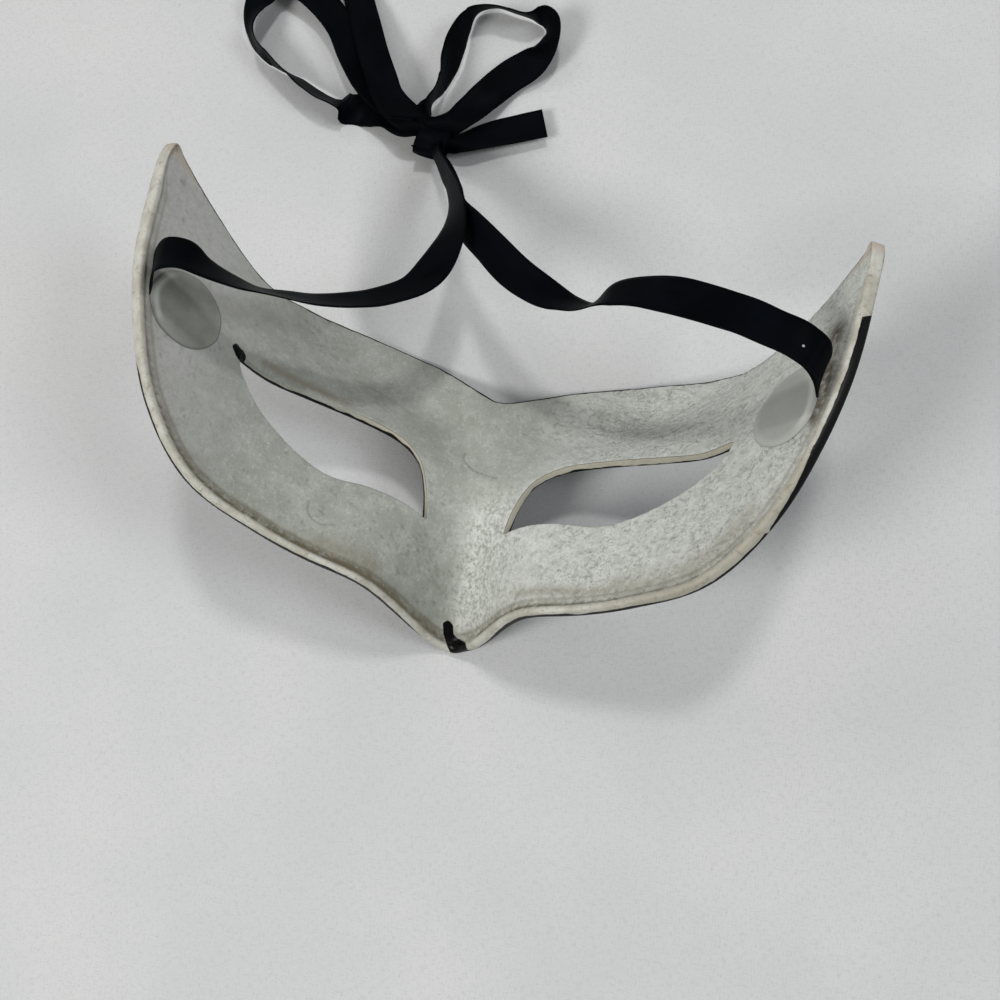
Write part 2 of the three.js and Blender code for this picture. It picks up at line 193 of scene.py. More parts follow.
leftStrand = [
    (-0.0783, 0.0149, 0.0654, 0.39, -0.77, 0.5), (-0.0766, 0.0186, 0.0698, 0.29, -0.89, 0.34),
    (-0.0735, 0.0199, 0.0726, 0.12, -0.96, 0.25), (-0.0686, 0.0204, 0.073, 0.03, -0.9, 0.43),
    (-0.0642, 0.0193, 0.0708, 0.25, -0.76, 0.6), (-0.058, 0.0189, 0.0649, 0.59, -0.56, 0.58),
    (-0.0527, 0.0196, 0.0594, 0.68, -0.35, 0.64), (-0.0463, 0.0214, 0.0539, 0.61, -0.47, 0.64),
    (-0.0372, 0.0244, 0.0485, 0.61, -0.54, 0.58), (-0.0281, 0.0301, 0.0425, 0.72, -0.52, 0.45),
    (-0.0227, 0.0354, 0.039, 0.89, -0.37, 0.28), (-0.0206, 0.0419, 0.035, 0.98, -0.18, 0.07),
    (-0.0197, 0.0505, 0.031, 0.97, 0.09, 0.25), (-0.0202, 0.0596, 0.0265, 0.73, 0.4, 0.55),
    (-0.0227, 0.0682, 0.022, 0.39, 0.56, 0.73), (-0.0278, 0.0774, 0.0165, 0.03, 0.55, 0.83),
    (-0.033, 0.0845, 0.0116, -0.04, 0.52, 0.85),
]
rightStrand = [
    (0.0776, 0.0181, 0.0644, 0.14, 0.92, -0.36), (0.0768, 0.0198, 0.0685, 0.35, 0.87, -0.35),
    (0.075, 0.0216, 0.0708, 0.47, 0.85, -0.23), (0.0719, 0.0233, 0.0713, 0.45, 0.88, -0.14),
    (0.0646, 0.0265, 0.0695, 0.44, 0.89, -0.08), (0.058, 0.0297, 0.066, 0.41, 0.91, -0.01),
    (0.0504, 0.0326, 0.0619, 0.32, 0.95, 0.02), (0.0419, 0.0353, 0.0575, 0.27, 0.96, -0),
    (0.0355, 0.0369, 0.053, 0.26, 0.94, -0.22), (0.0283, 0.037, 0.049, 0.12, 0.88, -0.46),
    (0.0211, 0.0341, 0.0444, 0.44, 0.6, -0.67), (0.0169, 0.0352, 0.0418, 0.51, 0.66, -0.56),
    (0.0106, 0.0381, 0.0395, 0.51, 0.82, -0.27), (0.0015, 0.0435, 0.0367, 0.55, 0.83, 0.1),
    (-0.0074, 0.0512, 0.0327, 0.45, 0.78, 0.44), (-0.0143, 0.0577, 0.028, 0.38, 0.76, 0.53),
    (-0.0192, 0.0629, 0.0242, 0.22, 0.64, 0.73), (-0.0223, 0.0686, 0.0207, 0.26, 0.6, 0.76),
    (-0.0272, 0.0779, 0.0152, 0.03, 0.58, 0.81), (-0.0323, 0.0848, 0.0097, -0.1, 0.52, 0.85),
]
leftLoop = [
    (-0.0474, 0.0969, 0.0054, -0.45, -0.68, 0.58), (-0.0545, 0.1015, 0.0035, -0.39, -0.9, 0.2),
    (-0.0617, 0.103, 0.0024, -0.06, -0.95, -0.3), (-0.0688, 0.1024, 0.0035, -0.26, -0.88, -0.4),
    (-0.0702, 0.1026, 0.0042, 0.22, -0.76, 0.61), (-0.0716, 0.1028, 0.005, 0.2, -0.67, 0.72),
    (-0.0764, 0.104, 0.0055, -0.13, -0.56, 0.82), (-0.0862, 0.1093, 0.0054, -0.21, -0.4, 0.89),
    (-0.0949, 0.1139, 0.0055, -0.03, -0.06, 1), (-0.1012, 0.1182, 0.0055, 0.1, 0.1, 0.99),
    (-0.1044, 0.1229, 0.0055, 0.37, 0.14, 0.92), (-0.1055, 0.1307, 0.0059, 0.91, -0.08, 0.41),
    (-0.1042, 0.1361, 0.0059, 0.94, -0.35, 0.01), (-0.102, 0.1405, 0.006, 0.69, -0.72, 0.1),
    (-0.0975, 0.1425, 0.006, 0.09, -0.99, -0.1), (-0.0915, 0.1405, 0.0055, -0.39, -0.92, 0.1),
    (-0.0837, 0.1359, 0.0052, -0.6, -0.8, 0.01), (-0.0766, 0.129, 0.0047, -0.72, -0.64, 0.28),
    (-0.0695, 0.1185, 0.0042, -0.76, -0.56, 0.33), (-0.062, 0.1095, 0.0052, -0.67, -0.66, 0.33),
    (-0.053, 0.103, 0.0072, -0.54, -0.8, 0.27),
]
rightLoop = [
    (-0.0426, 0.1, 0.0066, 0.43, 0.17, -0.89), (-0.0418, 0.1044, 0.0071, -0.01, 0.04, -1),
    (-0.0411, 0.1079, 0.007, -0.26, 0.01, -0.97), (-0.0396, 0.1133, 0.0065, -0.02, -0.07, -1),
    (-0.0391, 0.1204, 0.0061, 0.33, -0.08, -0.94), (-0.0384, 0.129, 0.0056, 0.36, -0.09, -0.93),
    (-0.037, 0.1352, 0.0055, 0.09, -0.04, -1), (-0.0337, 0.1401, 0.0056, -0.26, 0.37, -0.89),
    (-0.0294, 0.1415, 0.0055, -0.07, 0.52, -0.85), (-0.0234, 0.1406, 0.0056, 0.05, 0.46, -0.88),
    (-0.0172, 0.1397, 0.0053, -0.02, 0.39, -0.92), (-0.0133, 0.1401, 0.0053, -0, -0.14, -0.99),
    (-0.0107, 0.1376, 0.0056, -0.4, -0.28, -0.88), (-0.011, 0.1296, 0.0049, -0.83, 0.34, -0.45),
    (-0.0143, 0.1246, 0.0044, -0.77, 0.62, 0.16), (-0.0199, 0.1193, 0.0043, -0.62, 0.58, 0.53),
    (-0.0257, 0.1117, 0.0047, -0.79, 0.57, 0.22), (-0.0294, 0.1058, 0.0057, -0.82, 0.58, 0),
    (-0.0324, 0.1019, 0.0065, -0.72, 0.68, -0.16),
]
leftTail = [
    (-0.0535, 0.104, 0.0096, 0.9, 0.5, 0), (-0.0575, 0.1105, 0.0086, 0.9, 0.4, 0),
    (-0.0625, 0.119, 0.0072, 0.9, 0.4, 0), (-0.0685, 0.1305, 0.0048, 0.9, 0.4, 0),
    (-0.074, 0.141, 0.0026, 0.9, 0.3, 0), (-0.078, 0.15, 0.0015, 0.9, 0.3, 0),
    (-0.082, 0.159, 0.0012, 0.9, 0.3, 0), (-0.085, 0.166, 0.0012, 0.9, 0.3, 0),
]
rightTail = [
    (-0.0307, 0.0962, 0.0042, 0.34, -0.86, 0.37), (-0.028, 0.0971, 0.004, 0.35, -0.87, 0.34),
    (-0.022, 0.0999, 0.0036, 0.4, -0.9, 0.17), (-0.0155, 0.1025, 0.0034, 0.37, -0.93, 0.06),
    (-0.0064, 0.1062, 0.0033, 0.38, -0.93, 0.04),
]


def keepWidthTurning(stations):
    # A width direction and its opposite are the same ribbon, so each follows the one before
    lined = np.array(stations, float)
    for i in range(1, len(lined)):
        if lined[i, 3:] @ lined[i - 1, 3:] < 0:
            lined[i, 3:] *= -1
    return lined


def makeRibbon(name, stations, seed, gathered=True):
    line = evenly(smoothLine(keepWidthTurning(stations), ribbon["perSpan"]), ribbon["step"])
    middle = line[:, :3]
    tangent = unit(np.gradient(middle, axis=0))
    across = line[:, 3:]
    across = unit(across - (across * tangent).sum(1)[:, None] * tangent)
    face = np.cross(tangent, across)
    face = face * np.where(face[:, 2:] < 0, -1, 1)
    along = lengthsAlong(middle)
    half = ribbon["width"] / 2
    # Inside the knot the ribbon is drawn together, and its section bows so that it keeps its width
    toKnot = np.linalg.norm(middle - np.array(knot["centre"]), axis=1)
    gather = 1 - knot["gather"] * np.exp(-(toKnot / knot["gatherReach"]) ** 2) * (1 if gathered else 0)
    bow = half * gather * np.sqrt(1.5 * (1 / gather - 1))
    count = ribbon["across"]
    x = np.linspace(-1, 1, count + 1)
    soft = 1 - ribbon["edgeRound"] * np.abs(x) ** 8
    toSelvedge = (np.abs(x) - ribbon["selvedgeAt"]) / ribbon["selvedgeWidth"]
    soft = soft + ribbon["selvedge"] * np.exp(-toSelvedge ** 2)
    still = along * 0
    onLine = np.stack([along / mm, still, still], 1)
    wave = noiseAt(onLine, ribbon["rippleSizes"][0], seed)
    lean = noiseAt(onLine, ribbon["rippleSizes"][1], seed + 3)
    rows = []
    strip = []
    for sheet in (1, -1):
        for j in (range(count + 1) if sheet > 0 else range(count, -1, -1)):
            lift = (ribbon["cup"] - bow) * (x[j] ** 2 - 0.5)
            lift = lift + ribbon["ripple"] * (wave * (x[j] ** 2) + lean * x[j])
            lift = lift + sheet * ribbon["thickness"] / 2 * soft[j]
            rows.append(middle + across * (half * x[j] * gather)[:, None] + face * lift[:, None])
            strip.append(np.stack([np.full(len(along), x[j] * half), along + seed, still + sheet], 1))
    rows = np.array(rows)
    sides, steps = rows.shape[:2]
    vertices = rows.transpose(1, 0, 2).reshape(-1, 3)
    faces = ringFaces(range(0, steps * sides, sides), sides)
    for j in range(count):
        a, b = j, sides - 1 - j
        faces.append((a + 1, a, b, b - 1))
        top = (steps - 1) * sides
        faces.append((top + a, top + a + 1, top + b - 1, top + b))
    vertices[:, 2] = np.maximum(vertices[:, 2], ribbon["lowest"])
    strip = np.array(strip).transpose(1, 0, 2).reshape(-1, 3)
    return makeMesh(name, vertices, faces, {"strip": strip}), middle, float(along[-1])


leftRoute = (leftStrand + [(-0.0385, 0.0935, 0.0062, 0.2, 0.5, 0.8)] + leftLoop
             + [(-0.043, 0.0975, 0.0075, -0.5, 0.3, 0.6), (-0.0365, 0.0945, 0.0062, -0.2, 0.7, 0.6)]
             + rightTail)
rightRoute = (rightStrand + [(-0.038, 0.093, 0.0048, 0.2, 0.5, 0.8)] + rightLoop
              + [(-0.038, 0.098, 0.0075, -0.2, 0.8, 0.3), (-0.0455, 0.0985, 0.009, 0.3, 0.8, 0.2)]
              + leftTail)
ribbonPieces = {}
for side, route, seed in (("left", leftRoute, 1), ("right", rightRoute, 2)):
    ribbonPieces[side], middle, length = makeRibbon("ribbon_" + side, route, seed)
    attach(ribbonPieces[side], "root")
    print("ribbon", side, round(length, 4))
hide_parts("ribbon_left_strand", "ribbon_left_loop", "ribbon_right_tail")
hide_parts("ribbon_right_strand", "ribbon_right_loop", "ribbon_left_tail")


# Knot: a turn of the ribbon wrapped round the two ribbons
def makeKnot():
    turn = math.radians(knot["turn"])
    along = np.array([math.cos(turn), math.sin(turn), 0])
    depth = np.array([-math.sin(turn), math.cos(turn), 0])
    up = np.array([0, 0, 1.0])
    centre = np.array(knot["centre"])
    stations = []
    for degrees in range(knot["start"], int(360 * knot["wraps"]) + knot["start"], knot["step"]):
        angle = math.radians(degrees)
        grow = knot["grow"] * degrees / 360
        pinch = 1 + knot["pinch"] * math.cos(3 * angle)
        sway = math.sin(angle * knot["slow"])
        place = centre + depth * math.cos(angle) * (knot["reach"][0] + grow) * pinch
        place = place + up * math.sin(angle) * (knot["reach"][1] + grow)
        place = place + along * knot["skew"] * sway
        tilt = knot["lean"] * sway
        stations.append(tuple(place) + tuple(along * math.cos(tilt) + depth * math.sin(tilt)))
    return makeRibbon("ribbon_knot_wrap", stations, 5, False)[0]


knotPiece = makeKnot()
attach(knotPiece, "root")
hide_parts("ribbon_knot")


# Shell. The flat pattern has u across the face from the nose and v up the face, in mm.
shell = {
    "wall": 2.4,
    "browEdge": [(0, 35.5), (15, 45), (28.5, 49.5), (43, 51), (57, 49), (71, 44.5), (89.5, 47.5),
                 (113, 52.5)],
    "lowerEdge": [(113, 52.5), (113, 46.5), (110.5, 35.5), (106, 21), (98, 6), (86.5, -9),
                  (70, -20.5), (49.5, -24.5), (32.5, -26.5), (19.5, -26.5), (10, -26), (0, -25)],
    "eyeTop": [(11.5, -3), (13, 3.5), (16.5, 11), (24, 16.5), (35.5, 18.5), (48.5, 18), (61, 16.5),
               (71, 17)],
    "eyeBottom": [(71, 17), (69, 13), (61, 6), (49, -0.5), (38, -3.5), (27.5, -2.5), (18.5, -2.5),
                  (11.5, -3)],
    "restTilt": 20,
    "restFlat": 1,
    "cornerRound": 1.3,
    "eyeRound": 0.45,
    "perSpan": 12,
    "edgeStep": 0.7,
    "eyeStep": 0.6,
    "innerStep": 0.4,
    "outerStep": 1.2,
    "grid": (-115, 115, -28, 56),  # how far it goes to the left, the right, down and up
    "gridGap": 0.55,  # steps that the grid keeps clear of an edge
    "rimFade": (0.8, 4.5),  # how far past its end the rolled rim fades out
    "tipNarrow": 0.26,
    "tipReach": 9,
    "farFromEdge": 20.0,
}
bend = {"nose": 0.0082, "cheek": 0.0133, "wing": -0.0016, "cheekFrom": 6.9, "cheekTo": 35.6,
        "wingFrom": 59.3, "wingTo": 93.7, "reach": 130}
nose = {"bridge": 11, "tip": -28, "rise": 1.2, "round": 2.1, "fade": 23.7,
        "bridgeHeight": 3.7, "tipHeight": 35.3, "bridgeWidth": 10.7, "tipWidth": 14.2}
brow = {"height": 3.6, "at": 23.5, "slope": 0.33, "width": 10.6, "from": 14, "to": 45, "fade": 30}
socket = {"depth": 2.3, "u": 39.7, "v": 2.7, "halfWidth": 19.1, "halfHeight": 15}
sweep = {"square": 4.4, "twist": -7.9, "lift": -0.3, "lean": 10.2, "vScale": 40, "uScale": 60}

# Cross sections of the edges: how far in from the edge, and how deep behind the outer face
rolledRim = [(0.4, 0), (0.1, 0.12), (0, 0.6), (0, 1.6), (0.06, 2.3), (0.25, 2.8), (0.6, 3.05),
             (1.05, 3.1), (1.5, 2.98), (1.85, 2.72), (2.15, 2.4), (2.45, 2.14), (2.8, 2.08), (3.5, 2.22),
             (4.6, 2.4)]
plainEdge = [(0.3, 0), (0.08, 0.08), (0, 0.35), (0, 1.2), (0, 1.9), (0.03, 2.2), (0.1, 2.34),
             (0.3, 2.4), (0.6, 2.4), (1.0, 2.4), (1.5, 2.4), (2.1, 2.4), (2.8, 2.4), (3.6, 2.4),
             (4.6, 2.4)]
eyeEdge = [(0.3, 0), (0.07, 0.09), (0, 0.4), (0, 1.1), (0, 1.8), (0.06, 2.15), (0.2, 2.34),
           (0.5, 2.4), (1.0, 2.4)]

bendStep = 0.5
bendU = np.arange(0, bend["reach"] + bendStep, bendStep)
toCheek = smoothStep(bendU, bend["cheekFrom"], bend["cheekTo"])
toWing = smoothStep(bendU, bend["wingFrom"], bend["wingTo"])
curvature = (bend["nose"] + (bend["cheek"] - bend["nose"]) * toCheek
             + (bend["wing"] - bend["cheek"]) * toWing)


def runningSum(values):
    return np.concatenate([[0], np.cumsum(values * bendStep)])


bendAngle = runningSum((curvature[1:] + curvature[:-1]) / 2)
midAngle = (bendAngle[1:] + bendAngle[:-1]) / 2
bendX = runningSum(np.cos(midAngle))
bendZ = runningSum(np.sin(midAngle))


def mixed(low, high, share):
    return low + (high - low) * share


def formHeight(u, v):
    down = np.maximum(0, (nose["bridge"] - v) / (nose["bridge"] - nose["tip"]))
    ridge = mixed(nose["bridgeHeight"], nose["tipHeight"], down ** nose["rise"])
    ridgeSide = np.exp(-(u / mixed(nose["bridgeWidth"], nose["tipWidth"], down)) ** nose["round"])
    noseShape = ridge * ridgeSide * (1 - smoothStep(v, nose["bridge"], nose["bridge"] + nose["fade"]))
    browLine = (v - brow["at"] - brow["slope"] * u) / brow["width"]
    browEnds = smoothStep(u, 0, brow["from"]) * (1 - smoothStep(u, brow["to"], brow["to"] + brow["fade"]))
    browShape = brow["height"] * np.exp(-browLine ** 2) * browEnds
    across = (u - socket["u"]) / socket["halfWidth"]
    up = (v - socket["v"]) / socket["halfHeight"]
    socketShape = socket["depth"] * np.exp(-across ** 2 - up ** 2)
    vs, us = v / sweep["vScale"], u / sweep["uScale"]
    sweepShape = (sweep["square"] * vs ** 2 + sweep["twist"] * vs * us ** 2
                  + sweep["lift"] * (vs * us) ** 2 + sweep["lean"] * vs * us)
    return noseShape + browShape - socketShape + sweepShape


def outerPoint(u, v):
    a = np.abs(u)
    angle, x, z = (np.interp(a, bendU, table) for table in (bendAngle, bendX, bendZ))
    height = formHeight(a, v)
    side = np.where(u < 0, -1, 1)
    return np.stack([side * (x + height * np.sin(angle)), v, z - height * np.cos(angle)], 1)


def shellPoint(u, v, depth):
    reach = 0.2
    acrossFace = outerPoint(u + reach, v) - outerPoint(u - reach, v)
    upFace = outerPoint(u, v + reach) - outerPoint(u, v - reach)
    inward = unit(np.cross(acrossFace, upFace))
    return outerPoint(u, v) + inward * np.asarray(depth)[:, None], inward


def splineLoop(*lists):
    return np.vstack([catmullRom(points, shell["perSpan"])[:-1] for points in lists])


def mirrorPoints(points):
    return [(-u, v) for u, v in reversed(points)]


def roundCorners(loop, radius, step):
    # A closed line, smoothed by a bell curve about as wide as the radius
    reach = int(math.ceil(3 * radius / step))
    weights = np.exp(-0.5 * (np.arange(-reach, reach + 1) * step / radius) ** 2)
    weights /= weights.sum()
    smooth = np.zeros_like(loop)
    for offset, weight in zip(range(-reach, reach + 1), weights):
        smooth += weight * np.roll(loop, offset, axis=0)
    return smooth


def closedEvenly(loop, step):
    closed = np.vstack([loop, loop[:1]])
    return evenly(closed, step, 2)[:-1]


def loopNormals(loop):
    tangent = unit(np.roll(loop, -1, axis=0) - np.roll(loop, 1, axis=0))
    return np.stack([-tangent[:, 1], tangent[:, 0]], 1)


def insideLoop(points, loop):
    x, y = points[:, 0], points[:, 1]
    inside = np.zeros(len(points), bool)
    ax, ay = loop[:, 0], loop[:, 1]
    bx, by = np.roll(ax, -1), np.roll(ay, -1)
    for x0, y0, x1, y1 in zip(ax, ay, bx, by):
        crosses = (y0 > y) != (y1 > y)
        if y1 != y0:
            inside ^= crosses & (x < (x1 - x0) * (y - y0) / (y1 - y0) + x0)
    return inside


def distanceTo(points, loop, closed=True):
    # Distance from each point to a line, and the place along the line that is nearest
    ends = np.roll(loop, -1, axis=0) if closed else loop[1:]
    starts = loop if closed else loop[:-1]
    best = np.full(len(points), 1e9)
    where = np.zeros(len(points))
    for i, (a, b) in enumerate(zip(starts, ends)):
        d = b - a
        t = np.clip(((points - a) @ d) / max(d @ d, 1e-12), 0, 1)
        gap = np.hypot(points[:, 0] - a[0] - t * d[0], points[:, 1] - a[1] - t * d[1])
        nearer = gap < best
        best = np.where(nearer, gap, best)
        where = np.where(nearer, i + t, where)
    return best, where


lowerRight = shell["lowerEdge"][::-1]
browRight = shell["browEdge"][::-1]
outlineRaw = splineLoop(lowerRight, browRight, mirrorPoints(browRight), mirrorPoints(lowerRight))
outline = closedEvenly(outlineRaw, shell["edgeStep"])
outline = roundCorners(outline, shell["cornerRound"], shell["edgeStep"])
eyeRight = closedEvenly(splineLoop(shell["eyeTop"], shell["eyeBottom"]), shell["eyeStep"])
eyeRight = roundCorners(eyeRight, shell["eyeRound"], shell["eyeStep"])
eyeLeft = np.stack([-eyeRight[::-1, 0], eyeRight[::-1, 1]], 1)
lowerCurve = catmullRom(shell["lowerEdge"], shell["perSpan"])
browCurve = catmullRom(shell["browEdge"], shell["perSpan"])


def hexPoints(step):
    points = []
    left, right, low, high = shell["grid"]
    rowStep = step * math.sqrt(3) / 2
    for k, v in enumerate(np.arange(low, high, rowStep)):
        us = np.arange(left, right, step) + (step / 2 if k % 2 else 0)
        points.append(np.stack([us, np.full(len(us), v)], 1))
    return np.vstack(points)


class ShellBuild:
    # Gathers the shell's points as pattern places with depths and distances round the edge, and its faces
    def __init__(self):
        self.places = []
        self.faces = []
        self.total = 0

    def add(self, u, v, depth, roundEdge):
        first = self.total
        self.places.append(np.stack([u, v, depth, roundEdge], 1))
        self.total += len(u)
        return first

    def strip(self, loop, inward, sections, shares):
        # Rings round a closed line, one for each step of the cross section
        count = len(loop)
        firsts = []
        steps = np.linalg.norm(np.diff(sections, axis=1), axis=2)
        roundEdge = np.hstack([np.zeros((count, 1)), np.cumsum(steps, axis=1)])
        for row in range(sections.shape[1]):
            inset = sections[:, row, 0] * shares
            firsts.append(self.add(loop[:, 0] + inward[:, 0] * inset, loop[:, 1] + inward[:, 1] * inset,
                                   sections[:, row, 1], roundEdge[:, row]))
        self.faces += ringFaces(firsts, count)
        return firsts

    def fill(self, rings, step, depth, towardsWearer):
        # Triangles between the outline's ring and the eyes' rings, over an even grid of points
        roundEdge = shell["farFromEdge"] if towardsWearer else 0.0
        places = np.vstack(self.places)
        loops = [places[first:first + count, :2] for first, count in rings]
        grid = hexPoints(step)
        keep = insideLoop(grid, loops[0])
        for hole in loops[1:]:
            keep &= ~insideLoop(grid, hole)
        grid = grid[keep]
        for loop in loops:
            grid = grid[distanceTo(grid, loop)[0] > step * shell["gridGap"]]
        first = self.add(grid[:, 0], grid[:, 1], np.full(len(grid), depth), np.full(len(grid), roundEdge))
        corners = np.vstack(loops + [grid])
        ids = np.concatenate([np.arange(a, a + n) for a, n in rings] + [np.arange(first, first + len(grid))])
        edges = []
        offset = 0
        for loop in loops:
            n = len(loop)
            edges += [(offset + i, offset + (i + 1) % n) for i in range(n)]
            offset += n
        result = delaunay_2d_cdt([Vector(c) for c in corners], edges, [], 1, 1e-7)
        sources = []
        for corner, came in zip(result[0], result[3]):
            if came:
                sources.append(ids[came[0]])
            else:
                extra = np.array([[corner[0]], [corner[1]], [depth], [roundEdge]])
                sources.append(self.add(*extra))
        print("filled", len(grid), "crossings", sum(1 for came in result[3] if not came))
        triangles = np.array(result[2])
        centres = np.array([tuple(v) for v in result[0]])[triangles].mean(1)
        outside = np.zeros(len(triangles), bool)
        for hole in loops[1:]:
            outside |= insideLoop(centres, hole)
        for triangle in triangles[~outside]:
            a, b, c = (sources[i] for i in triangle)
            self.faces.append((a, b, c) if towardsWearer else (a, c, b))


def folded(points):
    # The same places with the left half laid over the right
    return np.stack([np.abs(points[:, 0]), points[:, 1]], 1)


def tipShare(points):
    # The edges' profiles narrow towards the wings' ends
    wingEnd = np.array(shell["lowerEdge"][:2], float)
    least = shell["tipNarrow"]
    gap = distanceTo(folded(points), wingEnd, False)[0]
    return np.clip(least + (1 - least) * gap / shell["tipReach"], least, 1)


def edgeSections():
    # The rolled rim runs along the lower edge, and fades into the plain edge past each wing tip
    gaps = [distanceTo(outline * (side, 1), lowerCurve, False)[0] for side in (1, -1)]
    rimShare = 1 - smoothStep(np.minimum(*gaps), *shell["rimFade"])
    plain = np.array(plainEdge)[None]
    rolled = np.array(rolledRim)[None]
    return plain + (rolled - plain) * rimShare[:, None, None]


build = ShellBuild()
outlineRings = build.strip(outline, loopNormals(outline), edgeSections(), tipShare(outline))
eyeRings = []
for eye in (eyeRight, eyeLeft):
    eyeSections = np.repeat(np.array(eyeEdge)[None], len(eye), 0)
    eyeRings.append(build.strip(eye, loopNormals(eye), eyeSections, np.ones(len(eye))))
for row, step, depth in ((-1, shell["innerStep"], shell["wall"]), (0, shell["outerStep"], 0.0)):
    rings = [(outlineRings[row], len(outline))] + [(rows[row], len(eyeRight)) for rows in eyeRings]
    build.fill(rings, step, depth, depth > 0)
places = np.vstack(build.places)
print("shell points", len(places), "faces", len(build.faces))


# Marks on the wearer's side, at their places on the pattern
marks = {
    "eyeBlob": [(-73.0, 17.9), (-71.3, 17.1), (-69.6, 15.7)],
    "eyeBlobRadius": (1.2, 1.5, 0.9),
    "noseBlob": [(-1.7, -20.7), (-1.0, -21.9), (0.7, -23.4), (3.9, -25.2)],
    "noseBlobRadius": (1.6, 1.5, 1.5, 2.0),
    "uneven": 0.35,
    "unevenSize": 1.3,
}
# How far the black paint of the outer face laps round the edge, in mm
lapAcross = [(-113, 0.3), (-94, 0.3), (-91, 1.4), (-60, 1.5), (-45, 1.9), (-30, 2.6), (-10, 2.4), (-5, 1.2),
             (4, 0.8), (12, 1.4), (20, 2.2), (33, 2.0), (36, 1.2), (40, 1.8), (54, 1.5), (58, 1.1), (84, 1.1),
             (90, 0.3), (113, 0.3)]
# The broad black band on the right wing: mm from the wing's tip, and how far it laps over
bandAlong = [(19.6, 0), (20.4, 2.6), (35, 2.8), (52, 2.8), (58, 2.3), (66, 1.7), (71, 1.0), (72, 0)]
# How far it laps elsewhere and how uneven that is, in mm
laps = {"lower": 0.25, "band": 0.12, "inside": (0.3, 0.1), "leftEye": (1.25, 0.5), "rightEye": (0.7, 0.5),
        "brow": (2.95, 0.12), "size": 3.2, "fromRim": 5, "fromBrow": 5, "eyeSlope": 0.336}
# Scratches, folds, soft beige and brown stains, and a dark mark on the right wing that is painted shadow of
# the ribbon with some dirt: where they run, how wide, and how strong
scratches = [
    ([(-5.2, 18.2), (-5.3, 16.2), (-3.4, 14.2), (-0.5, 12.9)], 0.35, 1),
    ([(-0.5, 12.9), (2.6, 12.2), (5.5, 11.5)], 0.22, 1),
    ([(-39.6, -12.0), (-39.2, -14.2), (-37.5, -16), (-35, -16.6), (-31.5, -15.6)], 0.25, 1),
    ([(45.3, -20.5), (45.6, -23), (45.4, -26)], 0.22, 1),
]
folds = [
    ([(38.5, 31), (44, 37.5), (51.5, 43), (62, 45.6), (74, 47)], 0.5, 1),
    ([(-22, 27), (-30, 31), (-40, 33)], 0.6, 1),
]
stainsAndShadow = [
    ([(-64, 19.5), (-52, 20.4), (-40, 20.8)], 1.5, 0.75),
    ([(20, -20.5), (32, -21), (44, -20.5)], 1.2, 0.6),
    ([(44, -20), (58, -18.5), (70, -14.5), (80, -6)], 2.6, 0.45),
    ([(-20, -21), (-34, -21.5)], 2.2, 0.5),
    # Painted shadow of the right ribbon's end on the wing, with some dark dirt
    ([(101.5, 33), (99.8, 27.5), (99.0, 21.5), (98.2, 16.5), (96.5, 13)], 3.8, 1.0),
]
# Short strokes and pits: where, how far spread, how many, how long, how wide, and how they turn
strokeGroups = [
    ((-49, 40.5), (4.6, 4.0), 30, (0.7, 1.7), 0.3, "out"),
    ((-10.5, -13), (5.0, 6.5), 100, (0.1, 0.5), 0.3, None),
    ((8.5, -11), (4.5, 8.0), 120, (0.1, 0.4), 0.26, None),
    ((22, 35.5), (9.0, 3.6), 60, (0.5, 1.6), 0.28, 0.3),
    ((45, -13), (18, 5.0), 90, (0.6, 2.0), 0.3, 0.2),
    ((60, 27), (14, 4.5), 60, (0.5, 1.6), 0.26, 0.1),
    ((-84, 6), (16, 14), 60, (0.3, 1.0), 0.25, None),
    ((-40, -10), (18, 8), 50, (0.3, 0.8), 0.25, None),
    ((80, 0), (12, 12), 60, (0.4, 1.2), 0.28, None),
    ((-105.5, 45.5), (0.3, 0.3), 3, (0.5, 0.9), 0.45, None),
    ((-101, 37.5), (0.2, 0.2), 2, (0.2, 0.5), 0.4, None),
]
# Brown in the rim's groove, painted shade together with some grime: across the face in mm, and how strong it
# is there
shadeAndGrimeAcross = [(-113, 0.25), (-104, 0.35), (-95, 0.55), (-70, 0.85), (-40, 1.0), (-15, 1.0), (-6, 0.8),
               (0, 0.6), (6, 0.8), (14, 0.85), (25, 0.7), (45, 0.5), (70, 0.55), (90, 0.3), (113, 0.15)]


# The gesso's relief in mm. Its noise goes from broad to finest, with more height where the gesso is coarse.
gesso = {
    "sizes": (12, 5, 1.8, 0.95),
    "heights": (0.15, 0.1, 0.04, 0),
    "coarseHeights": (0, 0, 0.05, 0.035),
    "coarse": (0.42, 0.58, -0.3),  # the left side, added on the right, and added on the left wing
    "coarseFrom": (12, 34),
    "wingFrom": (58, 84),
    "crackSize": 2.1,
    "crackWidth": (0.015, 0.1),
    "crackBend": (3, 1.6),  # the size of the noise that bends them, and how far it does
    "crackAreas": (4.2, -0.12, 0.2),  # the size of that noise, and its values at none and at full
    "crackCoarse": (0.45, 0.95),
    "crack": 0.12,
    "stroke": 0.14,
    "scratch": 0.14,
    "fold": 0.12,
    "rimShare": 0.12,
    "rimSize": 9,
    "rimHeight": 0.14,
    "rimTo": (2.0, 3.2),
    "grooveAt": 2.5,
    "grooveTail": (0.3, 3.5),
    "shadeAndGrimeInset": (1.1, 1.8),
    "faceInset": (2.8, 5.0),
    "wearerDepth": (1.6, 2.35),
    "outerShare": 0.25,
    "paint": 0.3,
}


def blobDistance(points, name):
    best = np.full(len(points), 99.0)
    line = catmullRom([c + (r,) for c, r in zip(marks[name], marks[name + "Radius"])], 8)
    for u, v, radius in line:
        best = np.minimum(best, np.hypot(points[:, 0] - u, points[:, 1] - v) - radius)
    return best


def lineMarks(points, lines):
    total = np.zeros(len(points))
    for line, width, strength in lines:
        gap = distanceTo(points, evenly(catmullRom(line, 8), 0.8, 2), False)[0]
        total = np.maximum(total, np.exp(-(gap / width) ** 2) * strength)
    return total


